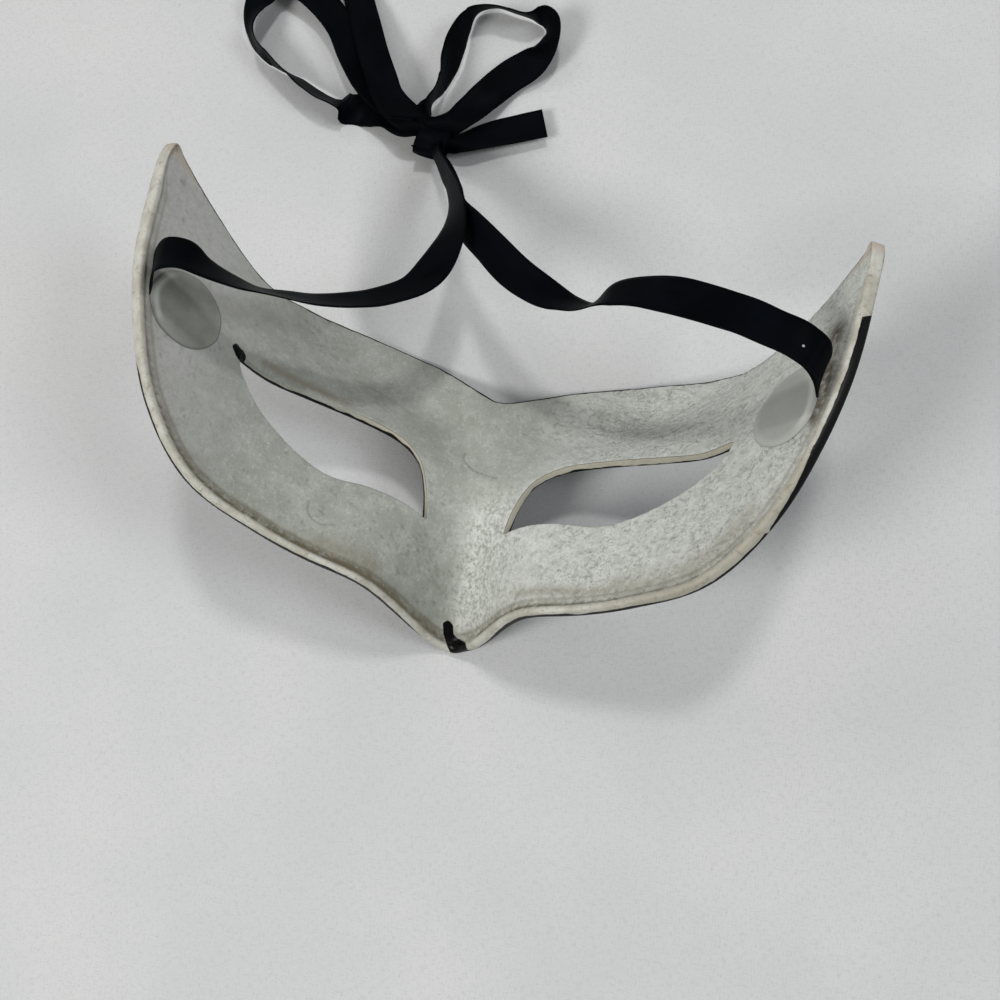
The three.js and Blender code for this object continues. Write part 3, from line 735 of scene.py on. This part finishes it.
def strokeMarks(points):
    rng = random.Random(7)
    total = np.zeros(len(points))
    reach = 2.5
    for (u0, v0), (du, dv), count, lengths, width, turn in strokeGroups:
        for i in range(count):
            u, v = rng.gauss(u0, du), rng.gauss(v0, dv)
            if turn == "out":
                angle = math.atan2(v - v0, u - u0) + rng.gauss(0, 0.25)
            elif turn is None:
                angle = rng.uniform(0, math.pi)
            else:
                angle = turn + rng.gauss(0, 0.6)
            half = rng.uniform(*lengths) / 2
            near = (np.abs(points[:, 0] - u) < reach) & (np.abs(points[:, 1] - v) < reach)
            x, y = points[near, 0] - u, points[near, 1] - v
            s, t = x * math.cos(angle) + y * math.sin(angle), y * math.cos(angle) - x * math.sin(angle)
            gap = np.hypot(np.maximum(np.abs(s) - half, 0), t)
            wide = width * rng.uniform(0.75, 1.3)
            total[near] = np.maximum(total[near], np.exp(-(gap / wide) ** 2) * rng.uniform(0.5, 1))
    return total


def crackMarks(spots, coarse):
    # Cracks run where a bent noise changes sign, within the areas of a second noise
    bendSize, bendReach = gesso["crackBend"]
    areaSize, low, high = gesso["crackAreas"]
    warp = np.stack([noiseAt(spots, bendSize, 21), noiseAt(spots, bendSize, 22), coarse * 0], 1) * bendReach
    width = np.abs(noiseAt(spots + warp, gesso["crackSize"], 23))
    here = smoothStep(noiseAt(spots, areaSize, 24), low, high) * smoothStep(coarse, *gesso["crackCoarse"])
    return (1 - smoothStep(width, *gesso["crackWidth"])) * here


def shellLook(u, v, depth, spots):
    # Relief along the normal in mm, and the masks that the finish reads
    points = np.stack([u, v], 1)
    gap, fromTip = distanceTo(folded(points), evenly(lowerCurve, 1.0, 2), False)
    rimInset = gap / tipShare(points)
    wearer = smoothStep(depth, *gesso["wearerDepth"])
    face = smoothStep(rimInset, *gesso["faceInset"]) * wearer
    plain, right, wing = gesso["coarse"]
    coarse = plain + right * smoothStep(u, *gesso["coarseFrom"]) + wing * smoothStep(-u, *gesso["wingFrom"])
    crack = crackMarks(spots, coarse)
    strokes = strokeMarks(points)
    scratch = lineMarks(points, scratches)
    fold = lineMarks(points, folds)
    relief = -gesso["crack"] * crack - gesso["stroke"] * strokes
    layers = zip(gesso["sizes"], gesso["heights"], gesso["coarseHeights"])
    for seed, (size, height, coarseHeight) in enumerate(layers, 1):
        relief = relief + (height + coarseHeight * coarse) * noiseAt(spots, size, seed)
    relief = relief * mixed(gesso["rimShare"], 1, face)
    relief = relief - (gesso["scratch"] * scratch + gesso["fold"] * fold) * wearer
    rimNoise = noiseAt(spots, gesso["rimSize"], 31)
    relief = relief + gesso["rimHeight"] * rimNoise * (1 - smoothStep(rimInset, *gesso["rimTo"]))
    # The groove's brown is painted shade where the rim shades it, with some grime
    toGroove = rimInset - gesso["grooveAt"]
    tail, tailReach = gesso["grooveTail"]
    groove = np.exp(-toGroove ** 2) + tail * np.exp(-np.maximum(toGroove, 0) / tailReach)
    shadeAndGrime = np.interp(u, *zip(*shadeAndGrimeAcross)) * groove * smoothStep(rimInset, *gesso["shadeAndGrimeInset"])
    return {
        "relief": relief * np.where(depth > 0.2, 1, gesso["outerShare"]),
        "rimInset": rimInset,
        "coarse": coarse,
        "dark": np.maximum(np.maximum(crack * 0.75, strokes), np.maximum(scratch, fold * 0.35)) * wearer,
        "shadeAndGrime": np.clip(shadeAndGrime, 0, 1.2) * wearer,
        "wearer": wearer,
        "stain": lineMarks(points, stainsAndShadow) * wearer,
        "fromTip": fromTip,
    }


def paintLap(u, v, look, spots):
    # How far the outer face's black paint comes round each edge
    uneven = noiseAt(spots, laps["size"], 42)
    lap = np.interp(u, *zip(*lapAcross)) + laps["lower"] * uneven
    band = np.interp(look["fromTip"], *zip(*bandAlong), left=0, right=0) * (u > 0)
    lap = np.where(band > 0, band + laps["band"] * uneven, lap)
    cornerU, cornerV = shell["eyeTop"][0]
    overEye = v > (np.abs(u) - cornerU) * laps["eyeSlope"] + cornerV
    toBrow = distanceTo(folded(np.stack([u, v], 1)), browCurve, False)[0]
    areas = {"inside": True, "leftEye": (u < 0) & overEye, "rightEye": (u > 0) & overEye,
             "brow": toBrow < laps["fromBrow"]}
    for name, area in areas.items():
        middle, spread = laps[name]
        lap = np.where((look["rimInset"] > laps["fromRim"]) & area, middle + spread * uneven, lap)
    return lap


u, v, depth, roundEdge = places.T
base, inward = shellPoint(u, v, depth)
look = shellLook(u, v, depth, base)
blobs = np.minimum(blobDistance(places, "eyeBlob"), blobDistance(places, "noseBlob"))
blobs = blobs + marks["uneven"] * noiseAt(places[:, :3], marks["unevenSize"], 41)
paintGap = np.minimum(roundEdge - paintLap(u, v, look, base), blobs)
relief = look.pop("relief") + gesso["paint"] * (1 - smoothStep(blobs, -0.5, 0.1)) * look["wearer"]
surface = base + inward * relief[:, None]
tilt = math.radians(shell["restTilt"])
layTurn = np.array([[1, 0, 0], [0, math.cos(tilt), math.sin(tilt)], [0, -math.sin(tilt), math.cos(tilt)]])
plainEdgePoints = np.vstack([shellPoint(outlineRaw[:, 0], outlineRaw[:, 1], np.full(len(outlineRaw), d))[0]
                             for d in (0, shell["wall"] + 0.2)]) @ layTurn.T
midY = (plainEdgePoints[:, 1].min() + plainEdgePoints[:, 1].max()) / 2
layShift = np.array([0, -midY, -plainEdgePoints[:, 2].min() - shell["restFlat"]])
laid = surface @ layTurn.T + layShift
laid[:, 2] = np.maximum(laid[:, 2], 0)
shellPiece = makeMesh("mask_shell_surface", laid * mm, build.faces,
                      {"pattern": places[:, :3], "spot": base, "paintGap": paintGap, **look})
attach(shellPiece, "root")
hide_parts("mask_shell")
print("shell laid", laid.min(0), laid.max(0), "shift", layShift)


# Patches glued over the ribbons' ends
patch = {"thickness": 0.6, "edge": 0.4, "lip": 0.18, "lipAt": -0.15, "lipShare": 0.87, "lipWidth": 0.075,
         "uneven": 0.1, "unevenSize": 4.5, "above": 0.12, "rings": 22, "sides": 96,
         "lipSide": (0.5, 0.97), "edgeFrom": 0.92, "edgeThinner": 0.75, "dome": 6}
# The turns, shift and height of the waves in a patch's outline
patchWaves = ((2, 1, 0.02), (3, 2, 0.012), (7, 3, 0.006))
patchPlaces = {
    "patch_left": {"side": -1, "u": 89.0, "v": 17.4, "acrossRadius": 10.3, "upRadius": 9.6},
    "patch_right": {"side": 1, "u": 87.4, "v": 19.2, "acrossRadius": 9.9, "upRadius": 10.6},
}


def makePatch(name, spot, seed):
    side = spot["side"]
    rings, sides = patch["rings"], patch["sides"]
    angle = np.arange(sides) / sides * 2 * math.pi
    outward = smoothStep(np.cos(angle - patch["lipAt"]), *patch["lipSide"])
    outer = 1 + sum(height * np.sin(turns * angle + shift * seed) for turns, shift, height in patchWaves)
    order = [(ring / rings, 1) for ring in range(rings + 1)]
    order += [(ring / rings, 0) for ring in range(rings, -1, -1)]
    rows = []
    lips = []
    places = []
    for share, top in order:
        u = spot["u"] + spot["acrossRadius"] * share * outer * np.cos(angle)
        v = spot["v"] + spot["upRadius"] * share * outer * np.sin(angle)
        lip = math.exp(-((share - patch["lipShare"]) / patch["lipWidth"]) ** 2) * outward
        height = mixed(patch["thickness"], patch["edge"], share ** patch["dome"]) + patch["lip"] * lip
        unevenAt = np.stack([u, v, u * 0 + seed * 9], 1)
        height = height + patch["uneven"] * noiseAt(unevenAt, patch["unevenSize"], 51)
        height = height * (1 - patch["edgeThinner"] * smoothStep(share, patch["edgeFrom"], 1.0)) * top
        base = shellPoint(u, v, np.full(sides, shell["wall"] + patch["above"]) + height)[0]
        rows.append((base @ layTurn.T + layShift) * (side, 1, 1) * mm)
        lips.append(lip)
        places.append(np.stack([u * side, v, height], 1))
    faces = ringFaces(range(0, len(rows) * sides, sides), sides)
    faces = [face[:1] + face[:0:-1] if side > 0 else face[1:] + face[:1] for face in faces]
    shares = np.repeat([share for share, top in order], sides)
    piece = makeMesh(name, np.vstack(rows), faces,
                     {"share": shares, "lip": np.concatenate(lips), "pattern": np.vstack(places)})
    piece.data.validate()
    return piece


patchPieces = []
for seed, (name, spot) in enumerate(patchPlaces.items()):
    piece = makePatch(name + "_surface", spot, seed + 1)
    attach(piece, "root")
    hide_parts(name)
    patchPieces.append(piece)
print("patches made")


class Nodes:
    # Builds one tree of nodes. A value for a socket is a number, a colour or another node's socket.
    def __init__(self, tree):
        self.tree = tree

    def plug(self, socket, value):
        if isinstance(value, bpy.types.NodeSocket):
            self.tree.links.new(value, socket)
        else:
            socket.default_value = value

    def add(self, kind, sockets=None, **settings):
        node = self.tree.nodes.new("ShaderNode" + kind)
        for key, value in settings.items():
            setattr(node, key, value)
        for key, value in (sockets or {}).items():
            self.plug(node.inputs[key], value)
        return node

    def calc(self, operation, *values):
        return self.add("Math", dict(enumerate(values)), operation=operation).outputs[0]

    def times(self, product, *others):
        for other in others:
            product = self.calc("MULTIPLY", product, other)
        return product

    def plus(self, a, b):
        return self.calc("ADD", a, b)

    def minus(self, a, b):
        return self.calc("SUBTRACT", a, b)

    def without(self, mask, share):
        return self.minus(1.0, self.times(mask, share))

    def ramp(self, value, low, high):
        # Goes from 0 to 1 between the two bounds, and the other way round where low is above high
        flip = low > high
        sockets = {"Value": value, "From Min": min(low, high), "From Max": max(low, high),
                   "To Min": 1.0 if flip else 0.0, "To Max": 0.0 if flip else 1.0}
        return self.add("MapRange", sockets, interpolation_type="SMOOTHSTEP").outputs[0]

    def blend(self, share, a, b):
        a, b = (colour + (1,) if isinstance(colour, tuple) else colour for colour in (a, b))
        return self.add("Mix", {0: share, 6: a, 7: b}, data_type="RGBA").outputs[2]

    def attribute(self, name, output="Fac"):
        return self.add("Attribute", attribute_name=name).outputs[output]

    def noise(self, place, scale, detail=3.0, roughness=0.55):
        sockets = {"Vector": place, "Scale": scale, "Detail": detail, "Roughness": roughness}
        return self.add("TexNoise", sockets).outputs["Fac"]

    def stretched(self, place, factors):
        return self.add("VectorMath", {0: place, 1: factors}, operation="MULTIPLY").outputs[0]

    def axes(self, place):
        return self.add("SeparateXYZ", {0: place}).outputs

    def grain(self, place):
        node = self.tree.nodes.new("ShaderNodeGroup")
        node.node_tree = chalkGrain
        self.plug(node.inputs["Place"], place)
        return node.outputs


# Floor and light
stage = {"size": 16.0, "height": -0.0001}
half = stage["size"] / 2
corners = [(x * half, y * half, stage["height"]) for x, y in ((-1, -1), (1, -1), (1, 1), (-1, 1))]
floor = makeMesh("floor", corners, [(0, 1, 2, 3)])


def makeLight(name, place, size, power, colour):
    data = bpy.data.lights.new(name, "AREA")
    data.shape = "DISK"
    data.size = size
    data.energy = power
    data.color = colour
    aimAt(addObject(name, data), place, lightsAim)


# Each light's name, place, size in metres, power in watts and colour
lightsAim = (0, 0.02, 0)
lights = [
    ("left_light", (-0.58, -0.56, 0.81), 0.4, 5.75, (1.0, 0.99, 0.96)),
    ("right_light", (0.81, 0.04, 0.81), 0.4, 3.0, (0.96, 0.98, 1.0)),
    ("back_light", (-0.62, 0.54, 0.81), 0.5, 1.0, (1.0, 1.0, 1.0)),
    ("top_light", (0.05, 0.50, 1.05), 0.14, 2.75, (1.0, 0.99, 0.97)),
]
for light in lights:
    makeLight(*light)

# The room behind the table shows pale, and gives only a little light
room = {"light": (1.0, 0.99, 0.965, 1), "strength": 0.16, "seen": (0.6, 0.61, 0.62, 1)}
world = bpy.data.worlds.new("world")
scene.world = world
world.use_nodes = True
worldNodes = Nodes(world.node_tree)
sky = world.node_tree.nodes["Background"]
sky.inputs["Color"].default_value = room["light"]
sky.inputs["Strength"].default_value = room["strength"]
backdrop = worldNodes.add("Background", {"Color": room["seen"]})
cameraRay = worldNodes.add("LightPath").outputs["Is Camera Ray"]
either = worldNodes.add("MixShader", {0: cameraRay, 1: sky.outputs[0], 2: backdrop.outputs[0]})
worldNodes.plug(world.node_tree.nodes["World Output"].inputs["Surface"], either.outputs[0])
scene.view_settings.view_transform = "Standard"


# Materials
# Noise is written as its scale, detail and roughness, and a ramp as its values at none and at full
chalk = {
    "grain": (1.3, 5.0, 0.7),
    "stain": (0.16, 4.0, 0.6),
    "pitsPerMm": 0.8,
    "pitRare": 3.0,
    "pitRadius": 0.34,
    "pitRamp": (-0.04, 0.05),
}


def grainGroup():
    # Takes a place in mm, and gives fine chalky grain, small pits and faint stains
    tree = bpy.data.node_groups.new("chalkGrain", "ShaderNodeTree")
    tree.interface.new_socket("Place", in_out="INPUT", socket_type="NodeSocketVector")
    for name in ("Grain", "Pits", "Stain"):
        tree.interface.new_socket(name, in_out="OUTPUT", socket_type="NodeSocketFloat")
    n = Nodes(tree)
    place = tree.nodes.new("NodeGroupInput").outputs["Place"]
    out = tree.nodes.new("NodeGroupOutput").inputs
    cells = n.add("TexVoronoi", {"Vector": place, "Scale": chalk["pitsPerMm"], "Randomness": 1.0}).outputs
    size = n.add("SeparateColor", {"Color": cells["Color"]}).outputs[0]
    radius = n.times(n.calc("POWER", size, chalk["pitRare"]), chalk["pitRadius"])
    n.plug(out["Grain"], n.noise(place, *chalk["grain"]))
    n.plug(out["Pits"], n.ramp(n.minus(radius, cells["Distance"]), *chalk["pitRamp"]))
    n.plug(out["Stain"], n.noise(place, *chalk["stain"]))
    return tree


chalkGrain = grainGroup()


def startMaterial(name):
    material = bpy.data.materials.new(name)
    material.use_nodes = True
    return material, Nodes(material.node_tree)


def setSurface(n, height, sockets):
    # The height is bump, in mm
    surface = n.tree.nodes["Principled BSDF"].inputs
    for name, value in sockets.items():
        n.plug(surface[name], value)
    bump = n.add("Bump", {"Height": height, "Distance": mm, "Strength": 1.0})
    n.plug(surface["Normal"], bump.outputs["Normal"])


# The gesso's layers from the lowest up: each one's colour and how strong it is
gessoLayers = {
    "leftPale": ((0.475, 0.50, 0.458), 1.0),
    # Painted light: the left wing is made lighter than the cheek to stand in for how it is lit
    "leftWingPaintedLight": ((0.57, 0.57, 0.56), 1.0),
    # Painted light: the right half is lighter than the left base, where the left lamp falls on it
    "right": ((0.71, 0.735, 0.695), 0.95),
    # Chalk flecks, and on the nose's right side partly painted light
    "chalk": ((0.80, 0.82, 0.785), 1.0),
    "mottle": ((0.36, 0.38, 0.335), 0.35),
    "speckle": ((0.28, 0.29, 0.25), 0.35),
    "dark": ((0.15, 0.155, 0.13), 1.0),
    "crackPale": ((0.74, 0.76, 0.73), 0.65),
    "crackDark": ((0.25, 0.26, 0.235), 0.55),
    # Stains, and on the right wing painted shadow of the ribbon with some dirt
    "stain": ((0.31, 0.275, 0.21), 1.0),
    "sheet": ((0.53, 0.51, 0.42), 1.0),
    "rim": ((0.53, 0.515, 0.44), 1.0),
    "tip": ((0.56, 0.475, 0.38), 0.7),
    # Painted shade in the rim's groove, with some grime
    "shadeAndGrime": ((0.165, 0.14, 0.085), 1.0),
    "rimDirt": ((0.22, 0.19, 0.125), 0.55),
    "paint": ((0.003, 0.003, 0.0035), 1.0),
}
gessoColours = {
    "left": (0.405, 0.422, 0.38),
    # Dark brown of the painted ribbon shadow on the right wing
    "wingStainAndShadow": (0.115, 0.1, 0.075),
    "sheetEdge": (0.17, 0.155, 0.115),
    "rimPale": (0.66, 0.655, 0.59),
    "rimWorn": (0.44, 0.42, 0.345),
    "paintWorn": (0.01, 0.01, 0.011),
}
# Noise that makes a mask: its scale per mm, detail and roughness, and its values at none and at full
gessoMasks = {
    "chalk": ((0.9, 4.0, 0.7), (0.36, 0.56)),
    "flecks": ((0.75, 5.0, 0.75), (0.53, 0.64)),
    "mottle": ((0.42, 5.0, 0.7), (0.6, 0.36)),
    "crackAreas": ((0.17, 2.0), (0.4, 0.56)),
    "rimDirt": ((0.7, 5.0, 0.75), (0.52, 0.68)),
    "chips": ((0.9, 5.0, 0.8), (0.66, 0.70)),
}
# Places across the face in mm, where something starts and where it is full
gessoZones = {
    "leftWingPaintedLight": (-58.0, -92.0),
    "leftEye": (-30.0, -40.0),
    "nose": (-6.0, 5.0),
    "leftOfCheek": (30.0, 14.0),
    "right": (6.0, 24.0),
    "wornFrom": (30.0, 56.0),
    "wornTo": (101.0, 93.0),
    "wingStainAndShadow": (92.0, 96.0),
}
# Crackle lines: where in the noise each lies, and half its width at none and at full
gessoCrackle = {"crackPale": (0.53, (0.045, 0.01)), "crackDark": (0.47, (0.028, 0.004))}

# How rough each finish is and how much the fine grain adds, and how high its bump stands in mm
gessoSurface = {
    "rough": 0.72,
    "roughGrain": 0.4,
    "rimSmoother": 0.15,
    "paintRough": 0.5,
    "wearerSmoother": 0.2,
    "shine": 0.16,
    "bump": 0.10,
    "coarseBump": 0.12,
    "darkBump": 0.12,
    "crackleBump": 0.5,
    "chalkBump": 0.05,
    "rimFlatter": 0.6,
    "paintFlatter": 0.75,
}


# Gesso, its cream rim, the painted shade and grime in its groove, and the black paint that laps over from the
# outside
def gessoMaterial():
    material, n = startMaterial("gesso")
    tint = gessoColours
    place = n.attribute("spot", "Vector")
    coarse, rimInset = n.attribute("coarse"), n.attribute("rimInset")
    across, up, depth = n.axes(n.attribute("pattern", "Vector"))
    grain = n.grain(place)
    fine = grain["Grain"]
    wobble = n.minus(n.noise(place, 0.5, 4.0, 0.65), 0.5)
    veins = n.noise(place, 0.62, 3.0, 0.55)
    masks = {name: n.ramp(n.noise(place, *numbers), *ends) for name, (numbers, ends) in gessoMasks.items()}
    zones = {name: n.ramp(across, *ends) for name, ends in gessoZones.items()}

    # Chalky white on the nose's right side, partly painted light where the lamps fall brightest, and in
    # flecks over the right side
    noseLight = n.times(zones["nose"], zones["leftOfCheek"], n.ramp(up, 14.0, 0.0))
    flecks = n.times(masks["flecks"], n.times(coarse, 0.75))
    scratched = n.times(n.attribute("dark"), n.plus(0.4, n.times(coarse, 0.1)))
    pits = n.times(grain["Pits"], n.times(coarse, 0.35))
    # Worm-like crackle on the right side, each dark line with a pale one beside it
    crackle = n.times(masks["crackAreas"], n.calc("POWER", coarse, 1.5))
    # The edges of the eye holes and the brow show the beige body of the sheet
    sheet = n.times(n.ramp(depth, 2.36, 2.2), n.ramp(rimInset, 3.0, 4.5))
    hidden = n.times(zones["leftEye"], n.ramp(rimInset, 5.0, 6.0))
    # Painted shade and grime lie broken in the rim's groove, and paint stops at an uneven, chipped edge
    shadeAndGrimeNoise = n.noise(n.stretched(place, (1.0, 1.0, 0.3)), 0.55, 5.0, 0.7)
    shadeAndGrime = n.times(n.attribute("shadeAndGrime"), n.plus(n.ramp(shadeAndGrimeNoise, 0.3, 0.6), 0.35), 0.85)
    edge = n.plus(n.attribute("paintGap"), n.times(wobble, 0.45))
    masks.update({
        "leftPale": n.ramp(grain["Stain"], 0.38, 0.62),
        "leftWingPaintedLight": zones["leftWingPaintedLight"],
        # Painted light over the right half
        "right": zones["right"],
        "chalk": n.calc("MAXIMUM", n.times(noseLight, masks["chalk"]), flecks),
        "speckle": n.ramp(fine, 0.48, 0.33),
        "dark": n.calc("MAXIMUM", scratched, pits),
        "stain": n.times(n.attribute("stain"), n.ramp(n.plus(wobble, 0.5), 0.12, 0.6)),
        "sheet": n.times(sheet, n.without(hidden, 0.8)),
        "rim": n.ramp(n.plus(rimInset, wobble), 1.95, 1.15),
        "tip": n.ramp(n.plus(n.attribute("fromTip"), n.times(wobble, 4.0)), 5.0, 2.0),
        "shadeAndGrime": n.calc("MINIMUM", shadeAndGrime, 0.9),
        "paint": n.times(n.ramp(edge, 0.06, -0.06), n.without(masks["chips"], n.ramp(edge, -0.7, -0.1))),
    })
    masks["rimDirt"] = n.times(masks["rim"], masks["rimDirt"])
    for name, (middle, ends) in gessoCrackle.items():
        masks[name] = n.times(n.ramp(n.calc("ABSOLUTE", n.minus(veins, middle)), *ends), crackle)

    # Some layers' colours vary, each by a mask towards a second colour
    rimColour = n.blend(n.ramp(grain["Stain"], 0.4, 0.6), gessoLayers["rim"][0], tint["rimPale"])
    worn = n.times(zones["wornFrom"], zones["wornTo"], 0.75)
    uneven = {
        # On the right wing the stain darkens into painted shadow of the ribbon, with some dirt
        "stain": (zones["wingStainAndShadow"], tint["wingStainAndShadow"]),
        "sheet": (n.ramp(depth, 2.0, 2.25), tint["sheetEdge"]),
        "paint": (n.ramp(fine, 0.6, 0.75), tint["paintWorn"]),
    }

    colour = tint["left"]
    for name, (own, strength) in gessoLayers.items():
        if name in uneven:
            share, other = uneven[name]
            own = n.blend(share, own, other)
        elif name == "rim":
            own = n.blend(worn, rimColour, tint["rimWorn"])
        colour = n.blend(n.times(masks[name], strength), colour, own)
    dark, rim, paint = masks["dark"], masks["rim"], masks["paint"]

    look = gessoSurface
    roughness = n.plus(look["rough"], n.times(n.minus(fine, 0.5), look["roughGrain"]))
    roughness = n.minus(roughness, n.times(rim, look["rimSmoother"]))
    paintRoughness = n.minus(look["paintRough"], n.times(n.attribute("wearer"), look["wearerSmoother"]))
    either = n.add("Mix", {0: paint, 2: roughness, 3: paintRoughness}, data_type="FLOAT").outputs[0]
    height = n.times(fine, n.plus(look["bump"], n.times(coarse, look["coarseBump"])))
    height = n.minus(height, n.times(dark, look["darkBump"]))
    height = n.plus(height, n.times(veins, crackle, look["crackleBump"]))
    height = n.plus(height, n.times(masks["chalk"], look["chalkBump"]))
    height = n.times(height, n.without(rim, look["rimFlatter"]), n.without(paint, look["paintFlatter"]))
    setSurface(n, height, {"Base Color": colour, "Roughness": either, "Specular IOR Level": look["shine"]})
    return material


glueColours = {
    "left": (0.30, 0.308, 0.28),
    "leftPale": (0.355, 0.365, 0.335),
    # Painted light: the right patch is made lighter than the left, as on the gesso
    "right": (0.41, 0.43, 0.40),
    "speckle": (0.21, 0.22, 0.19),
    "thin": (0.57, 0.59, 0.55),
    # Painted shadow along the patches' border
    "edge": (0.22, 0.23, 0.2),
    # Painted highlight on the raised lip
    "lip": (0.64, 0.66, 0.62),
}
# Ramps, and how strong the speckle, the thin edge, the dark edge of painted shadow and the ripples are
glueLook = {
    "rightFrom": (-5.0, 5.0),
    "paleFrom": (0.35, 0.65),
    "speckleFrom": (0.46, 0.3),
    "speckle": 0.25,
    "thinFrom": (0.72, 0.99),
    "thin": 0.55,
    "edgeFrom": (0.93, 0.99),
    "edge": 0.55,
    "edgeShadeLessOnRight": 0.45,
    "rippleSize": 0.4,
    "ripple": 0.12,
}


# Dried clear glue: smooth, grey and slightly see-through, with a painted highlight along its raised lip
def glueMaterial():
    material, n = startMaterial("glue")
    tint, look = glueColours, glueLook
    place = n.attribute("pattern", "Vector")
    share = n.attribute("share")
    grain = n.grain(place)
    right = n.ramp(n.axes(place)[0], *look["rightFrom"])
    colour = n.blend(n.ramp(grain["Stain"], *look["paleFrom"]), tint["left"], tint["leftPale"])
    # The right patch lighter than the left is painted light
    colour = n.blend(right, colour, tint["right"])
    speckle = n.times(n.ramp(grain["Grain"], *look["speckleFrom"]), look["speckle"])
    colour = n.blend(speckle, colour, tint["speckle"])
    # The right patch thins out into the gesso; the left one keeps a darker edge, a painted shadow along its
    # border
    thin = n.times(n.ramp(share, *look["thinFrom"]), right, look["thin"])
    colour = n.blend(thin, colour, tint["thin"])
    edge = n.minus(look["edge"], n.times(right, look["edgeShadeLessOnRight"]))
    edge = n.times(n.ramp(share, *look["edgeFrom"]), edge)
    colour = n.blend(edge, colour, tint["edge"])
    # The raised lip gets a painted highlight
    colour = n.blend(n.attribute("lip"), colour, tint["lip"])
    setSurface(n, n.times(n.noise(place, look["rippleSize"]), look["ripple"]), {
        "Base Color": colour,
        "Roughness": 0.6,
        "Specular IOR Level": 0.25,
        "Subsurface Weight": 0.15,
        "Subsurface Radius": (0.002, 0.002, 0.0018),
        "Subsurface Scale": 1.0,
    })
    return material


# Threads, weft and folds say how much finer than a metre the noise is across and along the ribbon
satinLook = {
    "threads": (5200.0, 260.0, 1.0),
    "weft": (420.0, 3300.0, 1.0),
    "folds": (160.0, 70.0, 1.0),
    "black": (0.0012, 0.0019, 0.0029),
    "blueBlack": (0.0024, 0.0034, 0.0054),
    "edge": (0.0022, 0.0028, 0.0038),
    "edgeFrom": (0.0041, 0.0046),
    "lint": (-0.0006, 2.0112, 1.0),
    "lintSize": 0.0003,
    "lintColour": (0.45, 0.5, 0.55),
    "foldRamp": (0.35, 0.7),
    "threadBump": 0.02,
    "foldBump": 0.12,
    "rough": 0.42,
    "threadRough": 0.16,
}


# Satin ribbon: near black with a blue cast, fine threads along it and a small piece of lint
def satinMaterial():
    material, n = startMaterial("satin")
    strip = n.attribute("strip", "Vector")
    threads = n.noise(n.stretched(strip, satinLook["threads"]), 1.0, 2.0, 0.5)
    weft = n.noise(n.stretched(strip, satinLook["weft"]), 1.0, 2.0, 0.5)
    fold = n.noise(n.stretched(strip, satinLook["folds"]), 1.0, 3.0, 0.5)
    toEdge = n.calc("ABSOLUTE", n.axes(strip)[0])
    toLint = n.add("VectorMath", {0: strip, 1: satinLook["lint"]}, operation="DISTANCE").outputs["Value"]
    size = satinLook["lintSize"]
    colour = n.blend(n.ramp(fold, *satinLook["foldRamp"]), satinLook["black"], satinLook["blueBlack"])
    colour = n.blend(n.ramp(toEdge, *satinLook["edgeFrom"]), colour, satinLook["edge"])
    colour = n.blend(n.ramp(toLint, size * 1.2, size * 0.7), colour, satinLook["lintColour"])
    thread = satinLook["threadBump"]
    height = n.plus(n.times(threads, thread), n.times(weft, thread))
    height = n.plus(height, n.times(fold, satinLook["foldBump"]))
    roughness = n.plus(satinLook["rough"], n.times(threads, satinLook["threadRough"]))
    setSurface(n, height, {"Base Color": colour, "Roughness": roughness, "IOR": 1.09, "Anisotropic": 0.5})
    return material


clothLook = {
    "threads": ((2600.0, 500.0, 1.0), (500.0, 2600.0, 1.0)),
    "grey": (0.70, 0.715, 0.725),
    "pale": (0.755, 0.765, 0.77),
    "gaps": (0.56, 0.57, 0.58),
    "specks": (0.58, 0.59, 0.59),
    "broad": (14.0, 4.0, 0.5),
    "paleFrom": (0.3, 0.7),
    "gapsFrom": (1.05, 0.75),
    "gapShare": 0.4,
    "specksPerMetre": 650.0,
    "specksFrom": (0.62, 0.72),
    "speckShare": 0.35,
    "weaveBump": 0.05,
    "creaseBump": 2.5,
}


# Floor: pale cotton cloth laid flat, with a fine weave and faint creases
def clothMaterial():
    material, n = startMaterial("floorCloth")
    look = clothLook
    place = n.add("TexCoord").outputs["Object"]
    weave = n.plus(*(n.noise(n.stretched(place, factors), 1.0, 2.0) for factors in look["threads"]))
    broad = n.noise(place, *look["broad"])
    colour = n.blend(n.ramp(broad, *look["paleFrom"]), look["grey"], look["pale"])
    colour = n.blend(n.times(n.ramp(weave, *look["gapsFrom"]), look["gapShare"]), colour, look["gaps"])
    specks = n.ramp(n.noise(place, look["specksPerMetre"]), *look["specksFrom"])
    colour = n.blend(n.times(specks, look["speckShare"]), colour, look["specks"])
    height = n.plus(n.times(weave, look["weaveBump"]), n.times(broad, look["creaseBump"]))
    setSurface(n, height, {"Base Color": colour, "Roughness": 0.9, "Specular IOR Level": 0.2})
    return material


satin, glue = satinMaterial(), glueMaterial()
dressed = [(shellPiece, gessoMaterial()), (floor, clothMaterial()), (knotPiece, satin)]
dressed += [(piece, satin) for piece in ribbonPieces.values()] + [(piece, glue) for piece in patchPieces]
for piece, material in dressed:
    piece.data.materials.append(material)
print("materials made")
